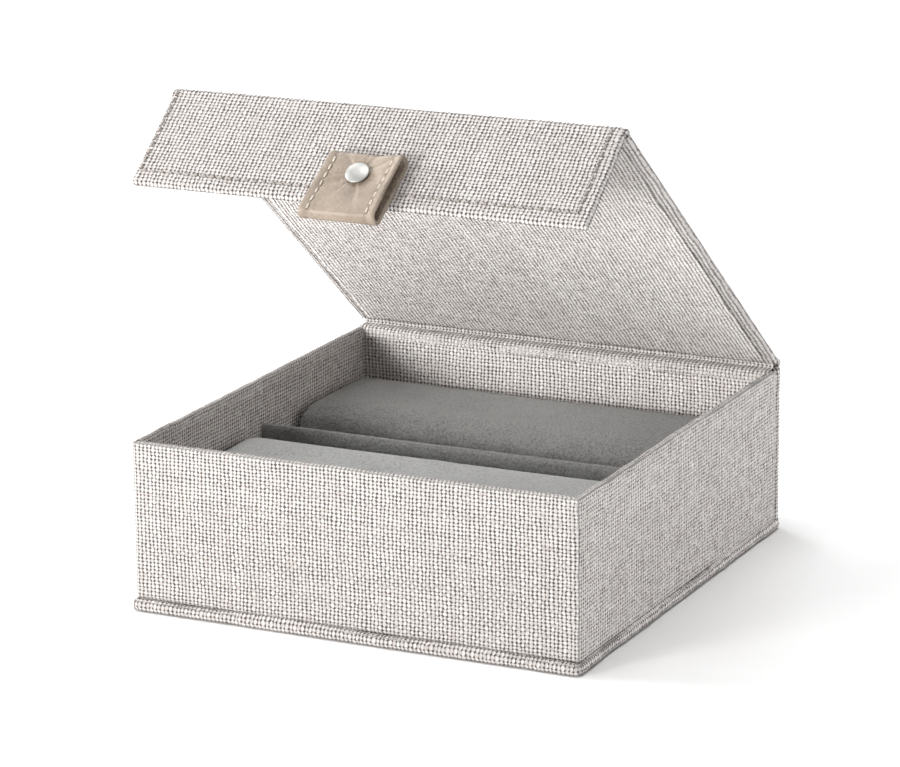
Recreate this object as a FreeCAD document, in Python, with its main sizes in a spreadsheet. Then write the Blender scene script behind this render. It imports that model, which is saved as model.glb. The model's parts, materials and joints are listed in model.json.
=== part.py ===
import FreeCAD, Part
import math
import os
import Sketcher
from FreeCAD import Placement, Rotation, Vector

# A cloth-covered keepsake box with a hinged lid, a front flap that closes over the front wall,
# a leather pull tab and two loose display rolls either side of a low divider.
# Frame: +X to the right, +Y to the back, +Z up, origin under the middle of the base panel.
# Lengths are millimetres and angles are degrees.

doc = FreeCAD.newDocument("cloth_box")

# ---- Driving dimensions -------------------------------------------------------------------
DIMENSIONS = [
    # outside of the box
    ("base_width", 161.0),
    ("base_depth", 172.0),
    ("base_height", 4.0),
    ("rim_height", 57.9),
    ("side_setback", 0.5),
    ("front_setback", 1.7),
    ("back_setback", 0.5),
    # what the panels are made of
    ("cloth_thickness", 0.5),
    ("wall_board", 2.0),
    ("spine_board", 2.5),
    ("panel_board", 1.5),
    ("lining_thickness", 0.5),
    ("lining_inset", 3.5),
    # lid and flap
    ("lid_gap", 0.3),
    ("hinge_inset", 2.0),
    ("fold_gap", 0.3),
    ("flap_gap", 0.3),
    ("flap_length", 39.7),
    ("lid_open_angle", 38.9),
    ("flap_open_angle", 11.9),
    ("hinge_cloth_gap", 0.02),
    ("hinge_cloth", 0.26),
    ("fold_cloth_start", 60.0),
    # divider
    ("divider_front", -1.0),
    ("divider_board", 2.0),
    ("divider_rise", 35.3),
    # display rolls
    ("roll_width", 58.2),
    ("roll_rise", 36.0),
    ("roll_shoulder", 10.0),
    ("roll_heel", 6.0),
    ("roll_cloth", 0.8),
    ("roll_end_gap", 1.0),
    ("roll_seat_gap", 0.3),
    ("front_roll_gap", 6.0),
    # closing magnets
    ("magnet_radius", 5.0),
    ("magnet_thickness", 1.5),
    ("magnet_spacing", 100.0),
    ("magnet_drop", 32.0),
    # leather tab and its rivet
    ("tab_width", 27.0),
    ("tab_length", 26.3),
    ("tab_overhang", 8.9),
    ("tab_depth", 5.0),
    ("leather_thickness", 0.8),
    ("tab_lining", 0.5),
    ("rivet_drop", 31.3),
    ("rivet_cap_radius", 4.0),
    ("rivet_cap_height", 1.4),
    ("rivet_cap_round", 0.9),
    ("rivet_post_radius", 1.5),
    ("rivet_back_radius", 4.0),
    ("rivet_clearance", 0.05),
    # sewing
    ("flap_stitch_pitch", 3.1),
    ("tab_stitch_pitch", 3.4),
    ("stitch_share", 0.72),
    ("thread_width", 0.55),
    ("thread_height", 0.3),
    ("hem_bottom", 4.7),
    ("hem_right", 4.4),
    ("hem_left", 1.5),
    ("tab_hem", 3.0),
]

sheet = doc.addObject("Spreadsheet::Sheet", "dims")
for row, (alias, number) in enumerate(DIMENSIONS, start=1):
    sheet.set("A%d" % row, alias.replace("_", " "))
    sheet.set("B%d" % row, str(number))
    sheet.setAlias("B%d" % row, alias)
doc.recompute()


def dim(alias):
    """The expression that reads one cell of the sheet."""
    return "dims." + alias


def value(expression):
    """An expression's number, for the few shapes that are counted or placed in a loop."""
    return float(sheet.evalExpression(str(expression)))


def add(*terms):
    return "(" + " + ".join(str(term) for term in terms) + ")"


def less(first, *rest):
    return "(" + " - ".join(str(term) for term in (first, *rest)) + ")"


def times(first, second):
    return "(%s * %s)" % (first, second)


# ---- Sizes worked out from the driving dimensions -----------------------------------------
CLOTH = dim("cloth_thickness")
BOARD = dim("wall_board")
WALL = add(BOARD, times(2, CLOTH))
BACK_WALL = add(times(2, BOARD), times(2, CLOTH))
SPINE = add(dim("spine_board"), times(2, CLOTH))
PANEL = add(dim("panel_board"), times(2, CLOTH), dim("lining_thickness"))
PANEL_WRAP = add(dim("panel_board"), times(2, CLOTH))
HALF_PANEL = times(0.5, PANEL)

TRAY_X = less(times(0.5, dim("base_width")), dim("side_setback"))
TRAY_FRONT = less(dim("front_setback"), times(0.5, dim("base_depth")))
SPINE_BACK = less(times(0.5, dim("base_depth")), dim("back_setback"))
TRAY_BACK = less(SPINE_BACK, SPINE)
TRAY_DEPTH = less(TRAY_BACK, TRAY_FRONT)
RIM = dim("rim_height")
TRAY_BOTTOM = dim("base_height")
INNER_X = less(TRAY_X, WALL)
INNER_FRONT = add(TRAY_FRONT, WALL)
INNER_BACK = less(TRAY_BACK, BACK_WALL)
FLOOR_BOARD_TOP = add(TRAY_BOTTOM, CLOTH, BOARD)
FLOOR_TOP = add(FLOOR_BOARD_TOP, dim("lining_thickness"))

HINGE_Y = less(SPINE_BACK, dim("hinge_inset"))
HINGE_Z = add(RIM, dim("lid_gap"), HALF_PANEL)
FOLD_Y = "(-%s)" % add(less(HINGE_Y, TRAY_FRONT), dim("flap_gap"), HALF_PANEL)
LID_END = add(FOLD_Y, HALF_PANEL, dim("fold_gap"))
FLAP_BOTTOM = less(HALF_PANEL, dim("flap_length"))
OUTER_FACE = "(-%s)" % HALF_PANEL
WRAP_INNER = add(OUTER_FACE, PANEL_WRAP)


# ---- Small helpers that make one feature each ---------------------------------------------
def bind(item, **expressions):
    for name, expression in expressions.items():
        item.setExpression(name.replace("__", "."), str(expression))


def body(label):
    """An empty body whose label names the node."""
    item = doc.addObject("PartDesign::Body", label)
    item.Label = label
    return item


def box(owner, low, size, cutting=False):
    """A block from its low corner and its size, added to or cut from the body."""
    kind = "PartDesign::SubtractiveBox" if cutting else "PartDesign::AdditiveBox"
    item = owner.newObject(kind, owner.Name + ("_space" if cutting else "_block"))
    bind(item, Length=size[0], Width=size[1], Height=size[2])
    bind(item, Placement__Base__x=low[0], Placement__Base__y=low[1], Placement__Base__z=low[2])
    return item


def cylinder(owner, centre, axis, radius, height, cutting=False, sector=None, start=Vector(1, 0, 0)):
    """A cylinder from the centre of its first end. start is where a sector's angle begins."""
    kind = "PartDesign::SubtractiveCylinder" if cutting else "PartDesign::AdditiveCylinder"
    item = owner.newObject(kind, owner.Name + ("_bore" if cutting else "_round"))
    side = axis.cross(start)
    item.Placement = Placement(Vector(), Rotation(start, side, axis, "XYZ"))
    bind(item, Radius=radius, Height=height)
    bind(item, Placement__Base__x=centre[0], Placement__Base__y=centre[1], Placement__Base__z=centre[2])
    if sector is not None:
        bind(item, Angle=sector)
    return item


def fillet(owner, feature, radius, wanted):
    """Rounds the feature's edges for which wanted(edge) is true."""
    doc.recompute()
    names = ["Edge%d" % n for n, edge in enumerate(feature.Shape.Edges, start=1) if wanted(edge)]
    item = owner.newObject("PartDesign::Fillet", owner.Name + "_edge")
    item.Base = (feature, names)
    bind(item, Radius=radius)
    return item


def place(item, y, z, angle=None):
    """Puts a body in a frame whose X axis is the hinge line, opened by the given angle."""
    if angle is not None:
        item.Placement = Placement(Vector(), Rotation(Vector(-1, 0, 0), 1.0))
        bind(item, Placement__Rotation__Angle=angle)
    bind(item, Placement__Base__y=y, Placement__Base__z=z)
    return item


# ---- Base panel ---------------------------------------------------------------------------
BASE_LOW = (times(-0.5, dim("base_width")), times(-0.5, dim("base_depth")), "0")
BASE_SIZE = (dim("base_width"), dim("base_depth"), dim("base_height"))


def inset(low, size, gap):
    """The same block, smaller by gap on every face."""
    smaller = [less(length, times(2, gap)) for length in size]
    return [add(corner, gap) for corner in low], smaller


def base_panel():
    """Grey board wrapped in cloth, a little proud of the tray that stands on it."""
    board = body("base_board")
    box(board, *inset(BASE_LOW, BASE_SIZE, CLOTH))
    cover = body("base_cover")
    box(cover, BASE_LOW, BASE_SIZE)
    box(cover, *inset(BASE_LOW, BASE_SIZE, CLOTH), cutting=True)


# ---- Tray ---------------------------------------------------------------------------------
WALL_LOW = add(TRAY_BOTTOM, CLOTH)
WALL_RISE = less(RIM, WALL_LOW, CLOTH)
BOARD_X = less(TRAY_X, CLOTH)
BOARD_FRONT = add(TRAY_FRONT, CLOTH)
BOARD_BACK = less(TRAY_BACK, CLOTH)
SIDE_LENGTH = less(BOARD_BACK, times(2, BOARD), BOARD_FRONT, BOARD)

TRAY_BOARDS = {
    "tray_front_board": (
        ("(-%s)" % BOARD_X, BOARD_FRONT, WALL_LOW),
        (times(2, BOARD_X), BOARD, WALL_RISE),
    ),
    "tray_back_outer_board": (
        ("(-%s)" % BOARD_X, less(BOARD_BACK, BOARD), WALL_LOW),
        (times(2, BOARD_X), BOARD, WALL_RISE),
    ),
    "tray_back_inner_board": (
        ("(-%s)" % BOARD_X, less(BOARD_BACK, times(2, BOARD)), WALL_LOW),
        (times(2, BOARD_X), BOARD, WALL_RISE),
    ),
    "tray_left_board": (
        ("(-%s)" % BOARD_X, add(BOARD_FRONT, BOARD), WALL_LOW),
        (BOARD, SIDE_LENGTH, WALL_RISE),
    ),
    "tray_right_board": (
        (less(BOARD_X, BOARD), add(BOARD_FRONT, BOARD), WALL_LOW),
        (BOARD, SIDE_LENGTH, WALL_RISE),
    ),
    "tray_floor_board": (
        (less(BOARD, BOARD_X), add(BOARD_FRONT, BOARD), WALL_LOW),
        (times(2, less(BOARD_X, BOARD)), SIDE_LENGTH, BOARD),
    ),
}
MAGNET_Z = less(add(HINGE_Z, HALF_PANEL), dim("magnet_drop"))
MAGNET_XS = {"left": times(-0.5, dim("magnet_spacing")), "right": times(0.5, dim("magnet_spacing"))}


def disc(owner, x, face_y, centre_z, cutting=False):
    """A magnet, or the recess that holds it: its flat faces look along Y, the first at face_y."""
    centre = (x, face_y, centre_z)
    radius = dim("magnet_radius")
    return cylinder(owner, centre, Vector(0, 1, 0), radius, dim("magnet_thickness"), cutting)


def tray_boards():
    """Six boards glued at their edges. The back one is doubled where the cover is glued on."""
    for label, (low, size) in TRAY_BOARDS.items():
        board = body(label)
        box(board, low, size)
        if label == "tray_front_board":
            for side, x in MAGNET_XS.items():
                disc(board, x, BOARD_FRONT, MAGNET_Z, cutting=True)
                disc(body("wall_%s_magnet" % side), x, BOARD_FRONT, MAGNET_Z)


def tray_cover():
    """Cloth over the outside, the rim and the inside of the walls, turned under the floor."""
    cover = body("tray_cover")
    outer_low = ("(-%s)" % TRAY_X, TRAY_FRONT, TRAY_BOTTOM)
    box(cover, outer_low, (times(2, TRAY_X), TRAY_DEPTH, less(RIM, TRAY_BOTTOM)))
    for low, size in TRAY_BOARDS.values():
        box(cover, low, size, cutting=True)
    cavity_low = ("(-%s)" % INNER_X, INNER_FRONT, FLOOR_BOARD_TOP)
    cavity_size = (times(2, INNER_X), less(INNER_BACK, INNER_FRONT), less(RIM, FLOOR_BOARD_TOP))
    box(cover, cavity_low, cavity_size, cutting=True)


def floor_lining():
    """Suede-faced card that lies on the floor board between the walls."""
    lining = body("tray_floor_lining")
    low = ("(-%s)" % INNER_X, INNER_FRONT, FLOOR_BOARD_TOP)
    box(lining, low, (times(2, INNER_X), less(INNER_BACK, INNER_FRONT), dim("lining_thickness")))


def spine():
    """The stiff back panel of the wrap-around cover, glued to the tray's back."""
    low = ("(-%s)" % TRAY_X, TRAY_BACK, TRAY_BOTTOM)
    size = (times(2, TRAY_X), SPINE, less(RIM, TRAY_BOTTOM))
    board = body("spine_board")
    box(board, *inset(low, size, CLOTH))
    cover = body("spine_cover")
    box(cover, low, size)
    box(cover, *inset(low, size, CLOTH), cutting=True)


def divider():
    """A low board wrapped in suede, glued between the side walls."""
    low = ("(-%s)" % INNER_X, dim("divider_front"), FLOOR_TOP)
    size = (times(2, INNER_X), add(dim("divider_board"), times(2, CLOTH)), dim("divider_rise"))
    board = body("divider_board")
    box(board, *inset(low, size, CLOTH))
    cover = body("divider_cover")
    box(cover, low, size)
    box(cover, *inset(low, size, CLOTH), cutting=True)


# ---- Display rolls ------------------------------------------------------------------------
ROLL_BOTTOM = add(FLOOR_TOP, dim("roll_seat_gap"))
ROLL_X = less(INNER_X, dim("roll_end_gap"))
ROLL_FRONTS = {
    "front_roll": less(dim("divider_front"), dim("front_roll_gap"), dim("roll_width")),
    "back_roll": less(INNER_BACK, dim("roll_seat_gap"), dim("roll_width")),
}


def rounded_section(sketch, gap):
    """A closed outline with two large upper corners and two small lower ones, inset by gap.
    The outline's low corner lies gap away from the sketch's origin along both axes."""
    wide = value(dim("roll_width")) - 2 * gap
    tall = value(dim("roll_rise")) - 2 * gap
    heel = value(dim("roll_heel")) - gap
    shoulder = value(dim("roll_shoulder")) - gap
    radii = (heel, heel, shoulder, shoulder)
    corners = [(gap, gap), (gap + wide, gap), (gap + wide, gap + tall), (gap, gap + tall)]
    along = [Vector(1, 0, 0), Vector(0, 1, 0), Vector(-1, 0, 0), Vector(0, -1, 0)]
    first = sketch.GeometryCount
    for n in range(4):
        start = Vector(*corners[n], 0) + along[n] * radii[n]
        end = Vector(*corners[(n + 1) % 4], 0) - along[n] * radii[(n + 1) % 4]
        sketch.addGeometry(Part.LineSegment(start, end))
    for n in range(4):
        centre = Vector(*corners[n], 0) + (along[n] - along[n - 1]) * radii[n]
        circle = Part.Circle(centre, Vector(0, 0, 1), radii[n])
        turn = math.pi + n * math.pi / 2
        sketch.addGeometry(Part.ArcOfCircle(circle, turn, turn + math.pi / 2))
    for n in range(4):
        sketch.addConstraint(Sketcher.Constraint("Tangent", first + 4 + n, 2, first + n, 1))
        sketch.addConstraint(Sketcher.Constraint("Tangent", first + (n - 1) % 4, 2, first + 4 + n, 1))
    for n, kind in enumerate(("Horizontal", "Vertical", "Horizontal", "Vertical")):
        sketch.addConstraint(Sketcher.Constraint(kind, first + n))
    inset_by = gap_expression(gap)
    limits = (
        ("DistanceY", first, 1, gap, inset_by),
        ("DistanceX", first + 3, 1, gap, inset_by),
        ("DistanceX", first + 1, 1, gap + wide, less(dim("roll_width"), inset_by)),
        ("DistanceY", first + 2, 1, gap + tall, less(dim("roll_rise"), inset_by)),
    )
    for kind, line, end, number, expression in limits:
        index = sketch.addConstraint(Sketcher.Constraint(kind, -1, 1, line, end, number))
        sketch.setExpression("Constraints[%d]" % index, str(expression))
    for n, alias in enumerate(("roll_heel", "roll_heel", "roll_shoulder", "roll_shoulder")):
        index = sketch.addConstraint(Sketcher.Constraint("Radius", first + 4 + n, radii[n]))
        sketch.setExpression("Constraints[%d]" % index, str(less(dim(alias), inset_by)))


def gap_expression(gap):
    return dim("roll_cloth") if gap else "0"


def roll_piece(label, front, left, length, outlines):
    """One straight length of a roll: outlines are the gaps of its outer and inner outline."""
    piece = body(label)
    sketch = piece.newObject("Sketcher::SketchObject", label + "_outline")
    plane = next(item for item in piece.Origin.OriginFeatures if item.Role == "YZ_Plane")
    sketch.AttachmentSupport = [(plane, "")]
    sketch.MapMode = "FlatFace"
    for gap in outlines:
        rounded_section(sketch, gap)
    pad = piece.newObject("PartDesign::Pad", label + "_length")
    pad.Profile = sketch
    bind(pad, Length=length)
    bind(piece, Placement__Base__x=left)
    place(piece, front, ROLL_BOTTOM)
    return piece


def display_roll(name, front):
    """A wadding core in a sewn suede sleeve with a flat panel at each end."""
    cloth = value(dim("roll_cloth"))
    skin = dim("roll_cloth")
    core_left = less(skin, ROLL_X)
    core_length = times(2, less(ROLL_X, skin))
    roll_piece(name + "_filling", front, core_left, core_length, [cloth])
    roll_piece(name + "_cover", front, core_left, core_length, [0.0, cloth])
    roll_piece(name + "_left_end", front, "(-%s)" % ROLL_X, skin, [0.0])
    roll_piece(name + "_right_end", front, less(ROLL_X, skin), skin, [0.0])


# ---- Lid ----------------------------------------------------------------------------------
def lid_place(item):
    return place(item, HINGE_Y, HINGE_Z, dim("lid_open_angle"))


def lid():
    """A cloth-wrapped board with a rounded hinge edge and a cloth lining set in from its edges."""
    span = "(-%s)" % LID_END
    left = "(-%s)" % TRAY_X
    wrap_low = less(HALF_PANEL, PANEL_WRAP)
    wrap_centre = add(wrap_low, times(0.5, PANEL_WRAP))
    board = body("lid_board")
    board_low = ("(-%s)" % BOARD_X, add(LID_END, CLOTH), add(wrap_low, CLOTH))
    board_size = (times(2, BOARD_X), less(span, CLOTH), dim("panel_board"))
    box(board, board_low, board_size)
    lid_place(board)
    cover = body("lid_cover")
    width = times(2, TRAY_X)
    box(cover, (left, LID_END, wrap_low), (width, span, PANEL_WRAP))
    radius = times(0.5, PANEL_WRAP)
    cylinder(cover, (left, "0", wrap_centre), Vector(1, 0, 0), radius, width, start=Vector(0, 1, 0))
    box(cover, board_low, board_size, cutting=True)
    lid_place(cover)
    lining = body("lid_lining")
    gap = dim("lining_inset")
    lining_low = (add(left, gap), add(LID_END, gap), OUTER_FACE)
    lining_size = (
        times(2, less(TRAY_X, gap)),
        less(span, times(2, gap)),
        dim("lining_thickness"),
    )
    box(lining, lining_low, lining_size)
    lid_place(lining)


def hinge_cloths():
    """The cloth that bends at each fold: thin sleeves round the two hinge lines."""
    inner = add(HALF_PANEL, dim("hinge_cloth_gap"))
    outer = add(inner, dim("hinge_cloth"))
    left = "(-%s)" % BOARD_X
    width = times(2, BOARD_X)
    along = Vector(1, 0, 0)

    def sleeve(label, centre_y, start, sector):
        cloth = body(label)
        centre = (left, centre_y, "0")
        cylinder(cloth, centre, along, outer, width, sector=sector, start=start)
        cylinder(cloth, centre, along, inner, width, cutting=True, start=start)
        return cloth

    lid_sector = less(180, dim("lid_open_angle"))
    place(sleeve("lid_hinge_cloth", "0", Vector(0, 0, -1), lid_sector), HINGE_Y, HINGE_Z)
    angle = math.radians(value(dim("fold_cloth_start")))
    start = Vector(0, math.sin(angle), math.cos(angle))
    flap_sector = less(add(dim("fold_cloth_start"), 90), dim("flap_open_angle"))
    lid_place(sleeve("flap_hinge_cloth", FOLD_Y, start, flap_sector))


# ---- Flap ---------------------------------------------------------------------------------
def in_lid(axis):
    """A coordinate of the fold line after the lid has been opened."""
    turned = "cos(dims.lid_open_angle * 1deg)" if axis == "y" else "(-sin(dims.lid_open_angle * 1deg))"
    return add(HINGE_Y if axis == "y" else HINGE_Z, times(FOLD_Y, turned))


FLAP_Y = in_lid("y")
FLAP_Z = in_lid("z")
FLAP_ANGLE = add(dim("lid_open_angle"), dim("flap_open_angle"))
RIVET_Z = less(HALF_PANEL, dim("rivet_drop"))
PLY = add(dim("leather_thickness"), dim("tab_lining"))
TAB_FRONT = less(OUTER_FACE, dim("tab_depth"))
OUTWARD = Vector(0, -1, 0)


def flap_place(item):
    return place(item, FLAP_Y, FLAP_Z, FLAP_ANGLE)


def flap():
    """A narrow panel made like the lid. It hangs down over the front wall when closed."""
    left = "(-%s)" % TRAY_X
    drop = "(-%s)" % FLAP_BOTTOM
    board_face = add(OUTER_FACE, CLOTH)
    magnet_z = less(HALF_PANEL, dim("magnet_drop"))
    post_hole = add(dim("rivet_post_radius"), dim("rivet_clearance"))
    board_low = ("(-%s)" % BOARD_X, board_face, add(FLAP_BOTTOM, CLOTH))
    board_size = (times(2, BOARD_X), dim("panel_board"), less(drop, CLOTH))
    rivet_line = ("0", HALF_PANEL, RIVET_Z)

    board = body("flap_board")
    box(board, board_low, board_size)
    for side, x in MAGNET_XS.items():
        disc(board, x, board_face, magnet_z, cutting=True)
        magnet = body("flap_%s_magnet" % side)
        disc(magnet, x, board_face, magnet_z)
        flap_place(magnet)
    cylinder(board, rivet_line, OUTWARD, post_hole, PANEL, cutting=True)
    flap_place(board)

    cover = body("flap_cover")
    radius = times(0.5, PANEL_WRAP)
    box(cover, (left, OUTER_FACE, FLAP_BOTTOM), (times(2, TRAY_X), PANEL_WRAP, drop))
    centre = (left, add(OUTER_FACE, radius), "0")
    cylinder(cover, centre, Vector(1, 0, 0), radius, times(2, TRAY_X), start=Vector(0, 1, 0))
    box(cover, board_low, board_size, cutting=True)
    cylinder(cover, rivet_line, OUTWARD, post_hole, PANEL, cutting=True)
    back_hole = add(dim("rivet_back_radius"), dim("rivet_clearance"))
    seat = add(CLOTH, dim("lining_thickness"))
    cylinder(cover, rivet_line, OUTWARD, back_hole, seat, cutting=True)
    flap_place(cover)

    lining = body("flap_lining")
    gap = dim("lining_inset")
    lining_low = (add(left, gap), WRAP_INNER, add(FLAP_BOTTOM, gap))
    lining_size = (times(2, less(TRAY_X, gap)), dim("lining_thickness"), less(drop, times(2, gap)))
    box(lining, lining_low, lining_size)
    flap_place(lining)


# ---- Leather tab --------------------------------------------------------------------------
TAB_BOTTOM = less(FLAP_BOTTOM, dim("tab_overhang"))


def flattened_loop(owner, gap, cutting=False):
    """A strip folded into a flat loop seen from its side: two straight plies and two round bends.
    gap is how far this outline lies inside the tab's outer face."""
    radius = less(times(0.5, dim("tab_depth")), gap)
    middle = less(OUTER_FACE, times(0.5, dim("tab_depth")))
    low = add(TAB_BOTTOM, times(0.5, dim("tab_depth")))
    rise = less(dim("tab_length"), dim("tab_depth"))
    left = times(-0.5, dim("tab_width"))
    block_low = (left, less(middle, radius), low)
    box(owner, block_low, (dim("tab_width"), times(2, radius), rise), cutting)
    for centre_z in (low, add(low, rise)):
        centre = (left, middle, centre_z)
        cylinder(owner, centre, Vector(1, 0, 0), radius, dim("tab_width"), cutting, start=Vector(0, 1, 0))


def tab():
    """A pull loop: leather outside, thin lining inside, riveted to the flap through both plies."""
    post_hole = add(dim("rivet_post_radius"), dim("rivet_clearance"))
    plies = {
        "tab_leather": ("0", dim("leather_thickness")),
        "tab_lining": (dim("leather_thickness"), PLY),
    }
    for label, (outer_gap, inner_gap) in plies.items():
        ply = body(label)
        flattened_loop(ply, outer_gap)
        flattened_loop(ply, inner_gap, cutting=True)
        centre = ("0", OUTER_FACE, RIVET_Z)
        cylinder(ply, centre, OUTWARD, post_hole, dim("tab_depth"), cutting=True)
        flap_place(ply)


def rivet():
    """A double-cap rivet: a domed cap outside, a post and a flat cap under the flap's lining."""
    back = body("rivet_back")
    inner_end = WRAP_INNER
    cylinder(back, ("0", inner_end, RIVET_Z), OUTWARD, dim("rivet_back_radius"), CLOTH)
    flap_place(back)
    post = body("rivet_post")
    post_length = less(inner_end, CLOTH, TAB_FRONT)
    post_start = ("0", less(inner_end, CLOTH), RIVET_Z)
    cylinder(post, post_start, OUTWARD, dim("rivet_post_radius"), post_length)
    flap_place(post)
    cap = body("rivet_cap")
    dome = cylinder(
        cap, ("0", TAB_FRONT, RIVET_Z), OUTWARD, dim("rivet_cap_radius"), dim("rivet_cap_height")
    )
    front = value(TAB_FRONT) - value(dim("rivet_cap_height"))

    def is_front_rim(edge):
        return abs(edge.BoundBox.YMin - front) < 0.01 and abs(edge.BoundBox.YMax - front) < 0.01

    fillet(cap, dome, dim("rivet_cap_round"), is_front_rim)
    flap_place(cap)


# ---- Sewing -------------------------------------------------------------------------------
def stitch_row(start, end, pitch, face_y):
    """Separate straight stitches on a face that looks along -Y, evenly spaced from start to end.
    start and end are (x, z) points."""
    run = Vector(end[0] - start[0], 0, end[1] - start[1])
    count = max(1, round(run.Length / pitch))
    step = run * (1.0 / count)
    along = step * (1.0 / step.Length)
    length = step.Length * value(dim("stitch_share"))
    width = value(dim("thread_width"))
    height = value(dim("thread_height"))
    across = Vector(0, -1, 0).cross(along)
    stitches = []
    for n in range(count):
        stitch = Part.makeBox(length, width, height)
        stitch.Placement = Placement(Vector(), Rotation(along, across, along.cross(across), "XYZ"))
        middle = Vector(start[0], face_y, start[1]) + step * (n + 0.5)
        corner = middle - along * (length / 2) - across * (width / 2)
        stitch.translate(corner)
        stitches.append(stitch)
    return stitches


def group_of_stitches(label, stitches):
    """Many equal stitches that share one node."""
    item = doc.addObject("Part::Feature", label)
    item.Label = label
    item.Shape = Part.makeCompound(stitches)
    frame = Rotation(Vector(-1, 0, 0), value(FLAP_ANGLE))
    item.Placement = Placement(Vector(0, value(FLAP_Y), value(FLAP_Z)), frame)
    return item


def sewing():
    """A hem along three sides of the flap and a seam down each side of the tab."""
    half = value(TRAY_X)
    bottom = value(FLAP_BOTTOM)
    face = value(OUTER_FACE)
    low = bottom + value(dim("hem_bottom"))
    left = -half + value(dim("hem_left"))
    right = half - value(dim("hem_right"))
    pitch = value(dim("flap_stitch_pitch"))
    hem = stitch_row((left, low), (right, low), pitch, face)
    for x in (left, right):
        hem += stitch_row((x, low + pitch / 2), (x, 0.0), pitch, face)
    tab_side = value(dim("tab_width")) / 2
    tab_left = value(dim("tab_hem")) - tab_side
    bend = value(dim("tab_depth")) / 2
    tab_low = value(TAB_BOTTOM) + bend
    tab_high = value(TAB_BOTTOM) + value(dim("tab_length")) - bend
    hem = [stitch for stitch in hem if not under_tab(stitch, tab_side)]
    group_of_stitches("flap_stitching", hem)
    seams = []
    for x in (tab_left, -tab_left):
        seams += stitch_row((x, tab_low), (x, tab_high), value(dim("tab_stitch_pitch")), value(TAB_FRONT))
    group_of_stitches("tab_stitching", seams)


def under_tab(stitch, tab_side):
    """True where the tab lies flat on the flap, so no stitch shows there."""
    box_of = stitch.BoundBox
    return box_of.XMax > -tab_side - 0.2 and box_of.XMin < tab_side + 0.2


# ---- Build, check and write ---------------------------------------------------------------
base_panel()
tray_boards()
tray_cover()
floor_lining()
spine()
divider()
for roll_name, roll_front in ROLL_FRONTS.items():
    display_roll(roll_name, roll_front)
lid()
hinge_cloths()
flap()
tab()
rivet()
sewing()
doc.recompute()

for item in doc.Objects:
    if "Invalid" in item.State or "Error" in item.State:
        raise RuntimeError("%s failed to build: %s" % (item.Label, item.State))

nodes = [item for item in doc.Objects if item.TypeId in ("PartDesign::Body", "Part::Feature")]
os.makedirs("parts", exist_ok=True)
for item in nodes:
    if item.Shape.isNull() or not item.Shape.isValid():
        raise RuntimeError("%s has no valid shape" % item.Label)
for item in nodes:
    item.Shape.exportStep("parts/%s.step" % item.Label)
    box_of = item.Shape.BoundBox
    print(
        "%-24s %3d solid(s) %10.1f mm3  x %.1f..%.1f  y %.1f..%.1f  z %.1f..%.1f"
        % (
            item.Label,
            len(item.Shape.Solids),
            item.Shape.Volume,
            box_of.XMin,
            box_of.XMax,
            box_of.YMin,
            box_of.YMax,
            box_of.ZMin,
            box_of.ZMax,
        )
    )
print("lid hinge at y %.4f z %.4f" % (value(HINGE_Y), value(HINGE_Z)))
print("flap fold at y %.4f z %.4f" % (value(FLAP_Y), value(FLAP_Z)))
print("%d nodes" % len(nodes))
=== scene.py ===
# %% [markdown]
# # A cloth-covered keepsake box
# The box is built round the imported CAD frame. Every visible cloth is a new surface: a grid whose rows and
# columns follow the yarns of a plain weave, wrapped over the boards the CAD model gives. The boards, fillings
# and magnets inside stay as the CAD nodes they are and only receive a finish.

import json
import math

import bpy
import numpy as np
from mathutils import Matrix, Vector


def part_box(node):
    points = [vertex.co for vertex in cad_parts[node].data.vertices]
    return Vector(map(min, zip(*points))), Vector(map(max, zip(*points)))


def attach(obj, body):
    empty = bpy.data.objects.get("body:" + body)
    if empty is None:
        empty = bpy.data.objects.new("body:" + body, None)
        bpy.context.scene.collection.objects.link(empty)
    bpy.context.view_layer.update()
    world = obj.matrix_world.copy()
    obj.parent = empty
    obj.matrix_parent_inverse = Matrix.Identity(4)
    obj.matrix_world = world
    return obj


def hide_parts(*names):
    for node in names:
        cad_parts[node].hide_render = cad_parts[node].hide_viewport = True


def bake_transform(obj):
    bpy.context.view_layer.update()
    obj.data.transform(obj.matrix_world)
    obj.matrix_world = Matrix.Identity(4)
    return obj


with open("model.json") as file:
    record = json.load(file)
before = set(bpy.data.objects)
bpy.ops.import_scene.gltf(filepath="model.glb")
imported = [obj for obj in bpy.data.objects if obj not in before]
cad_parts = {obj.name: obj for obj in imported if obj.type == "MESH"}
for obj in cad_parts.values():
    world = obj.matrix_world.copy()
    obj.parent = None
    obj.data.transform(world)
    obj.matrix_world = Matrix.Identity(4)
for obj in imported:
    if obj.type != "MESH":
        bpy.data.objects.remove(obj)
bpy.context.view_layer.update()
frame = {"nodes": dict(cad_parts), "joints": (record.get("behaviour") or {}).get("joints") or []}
NODES = frame["nodes"]
rng = np.random.default_rng(11)

# %% [markdown]
# ## Sizes
# Lengths are in millimetres while a surface is being worked out, and become metres when its mesh is made. The
# CAD boxes give the places. The two hinge lines come from the joints, and the lid and the flap are described
# in their own frames: origin on the hinge line, turned about X by the angle they are open at rest. WARP and
# WEFT are the pitches of the upright and the level yarns, and RELIEF is how far the weave is sunk into the
# surface that it follows.

# %% Sizes and frames
def span(node):
    """The lowest and highest corner of a CAD node, in millimetres."""
    low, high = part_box(node)
    return np.array(low) * 1000.0, np.array(high) * 1000.0


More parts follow.
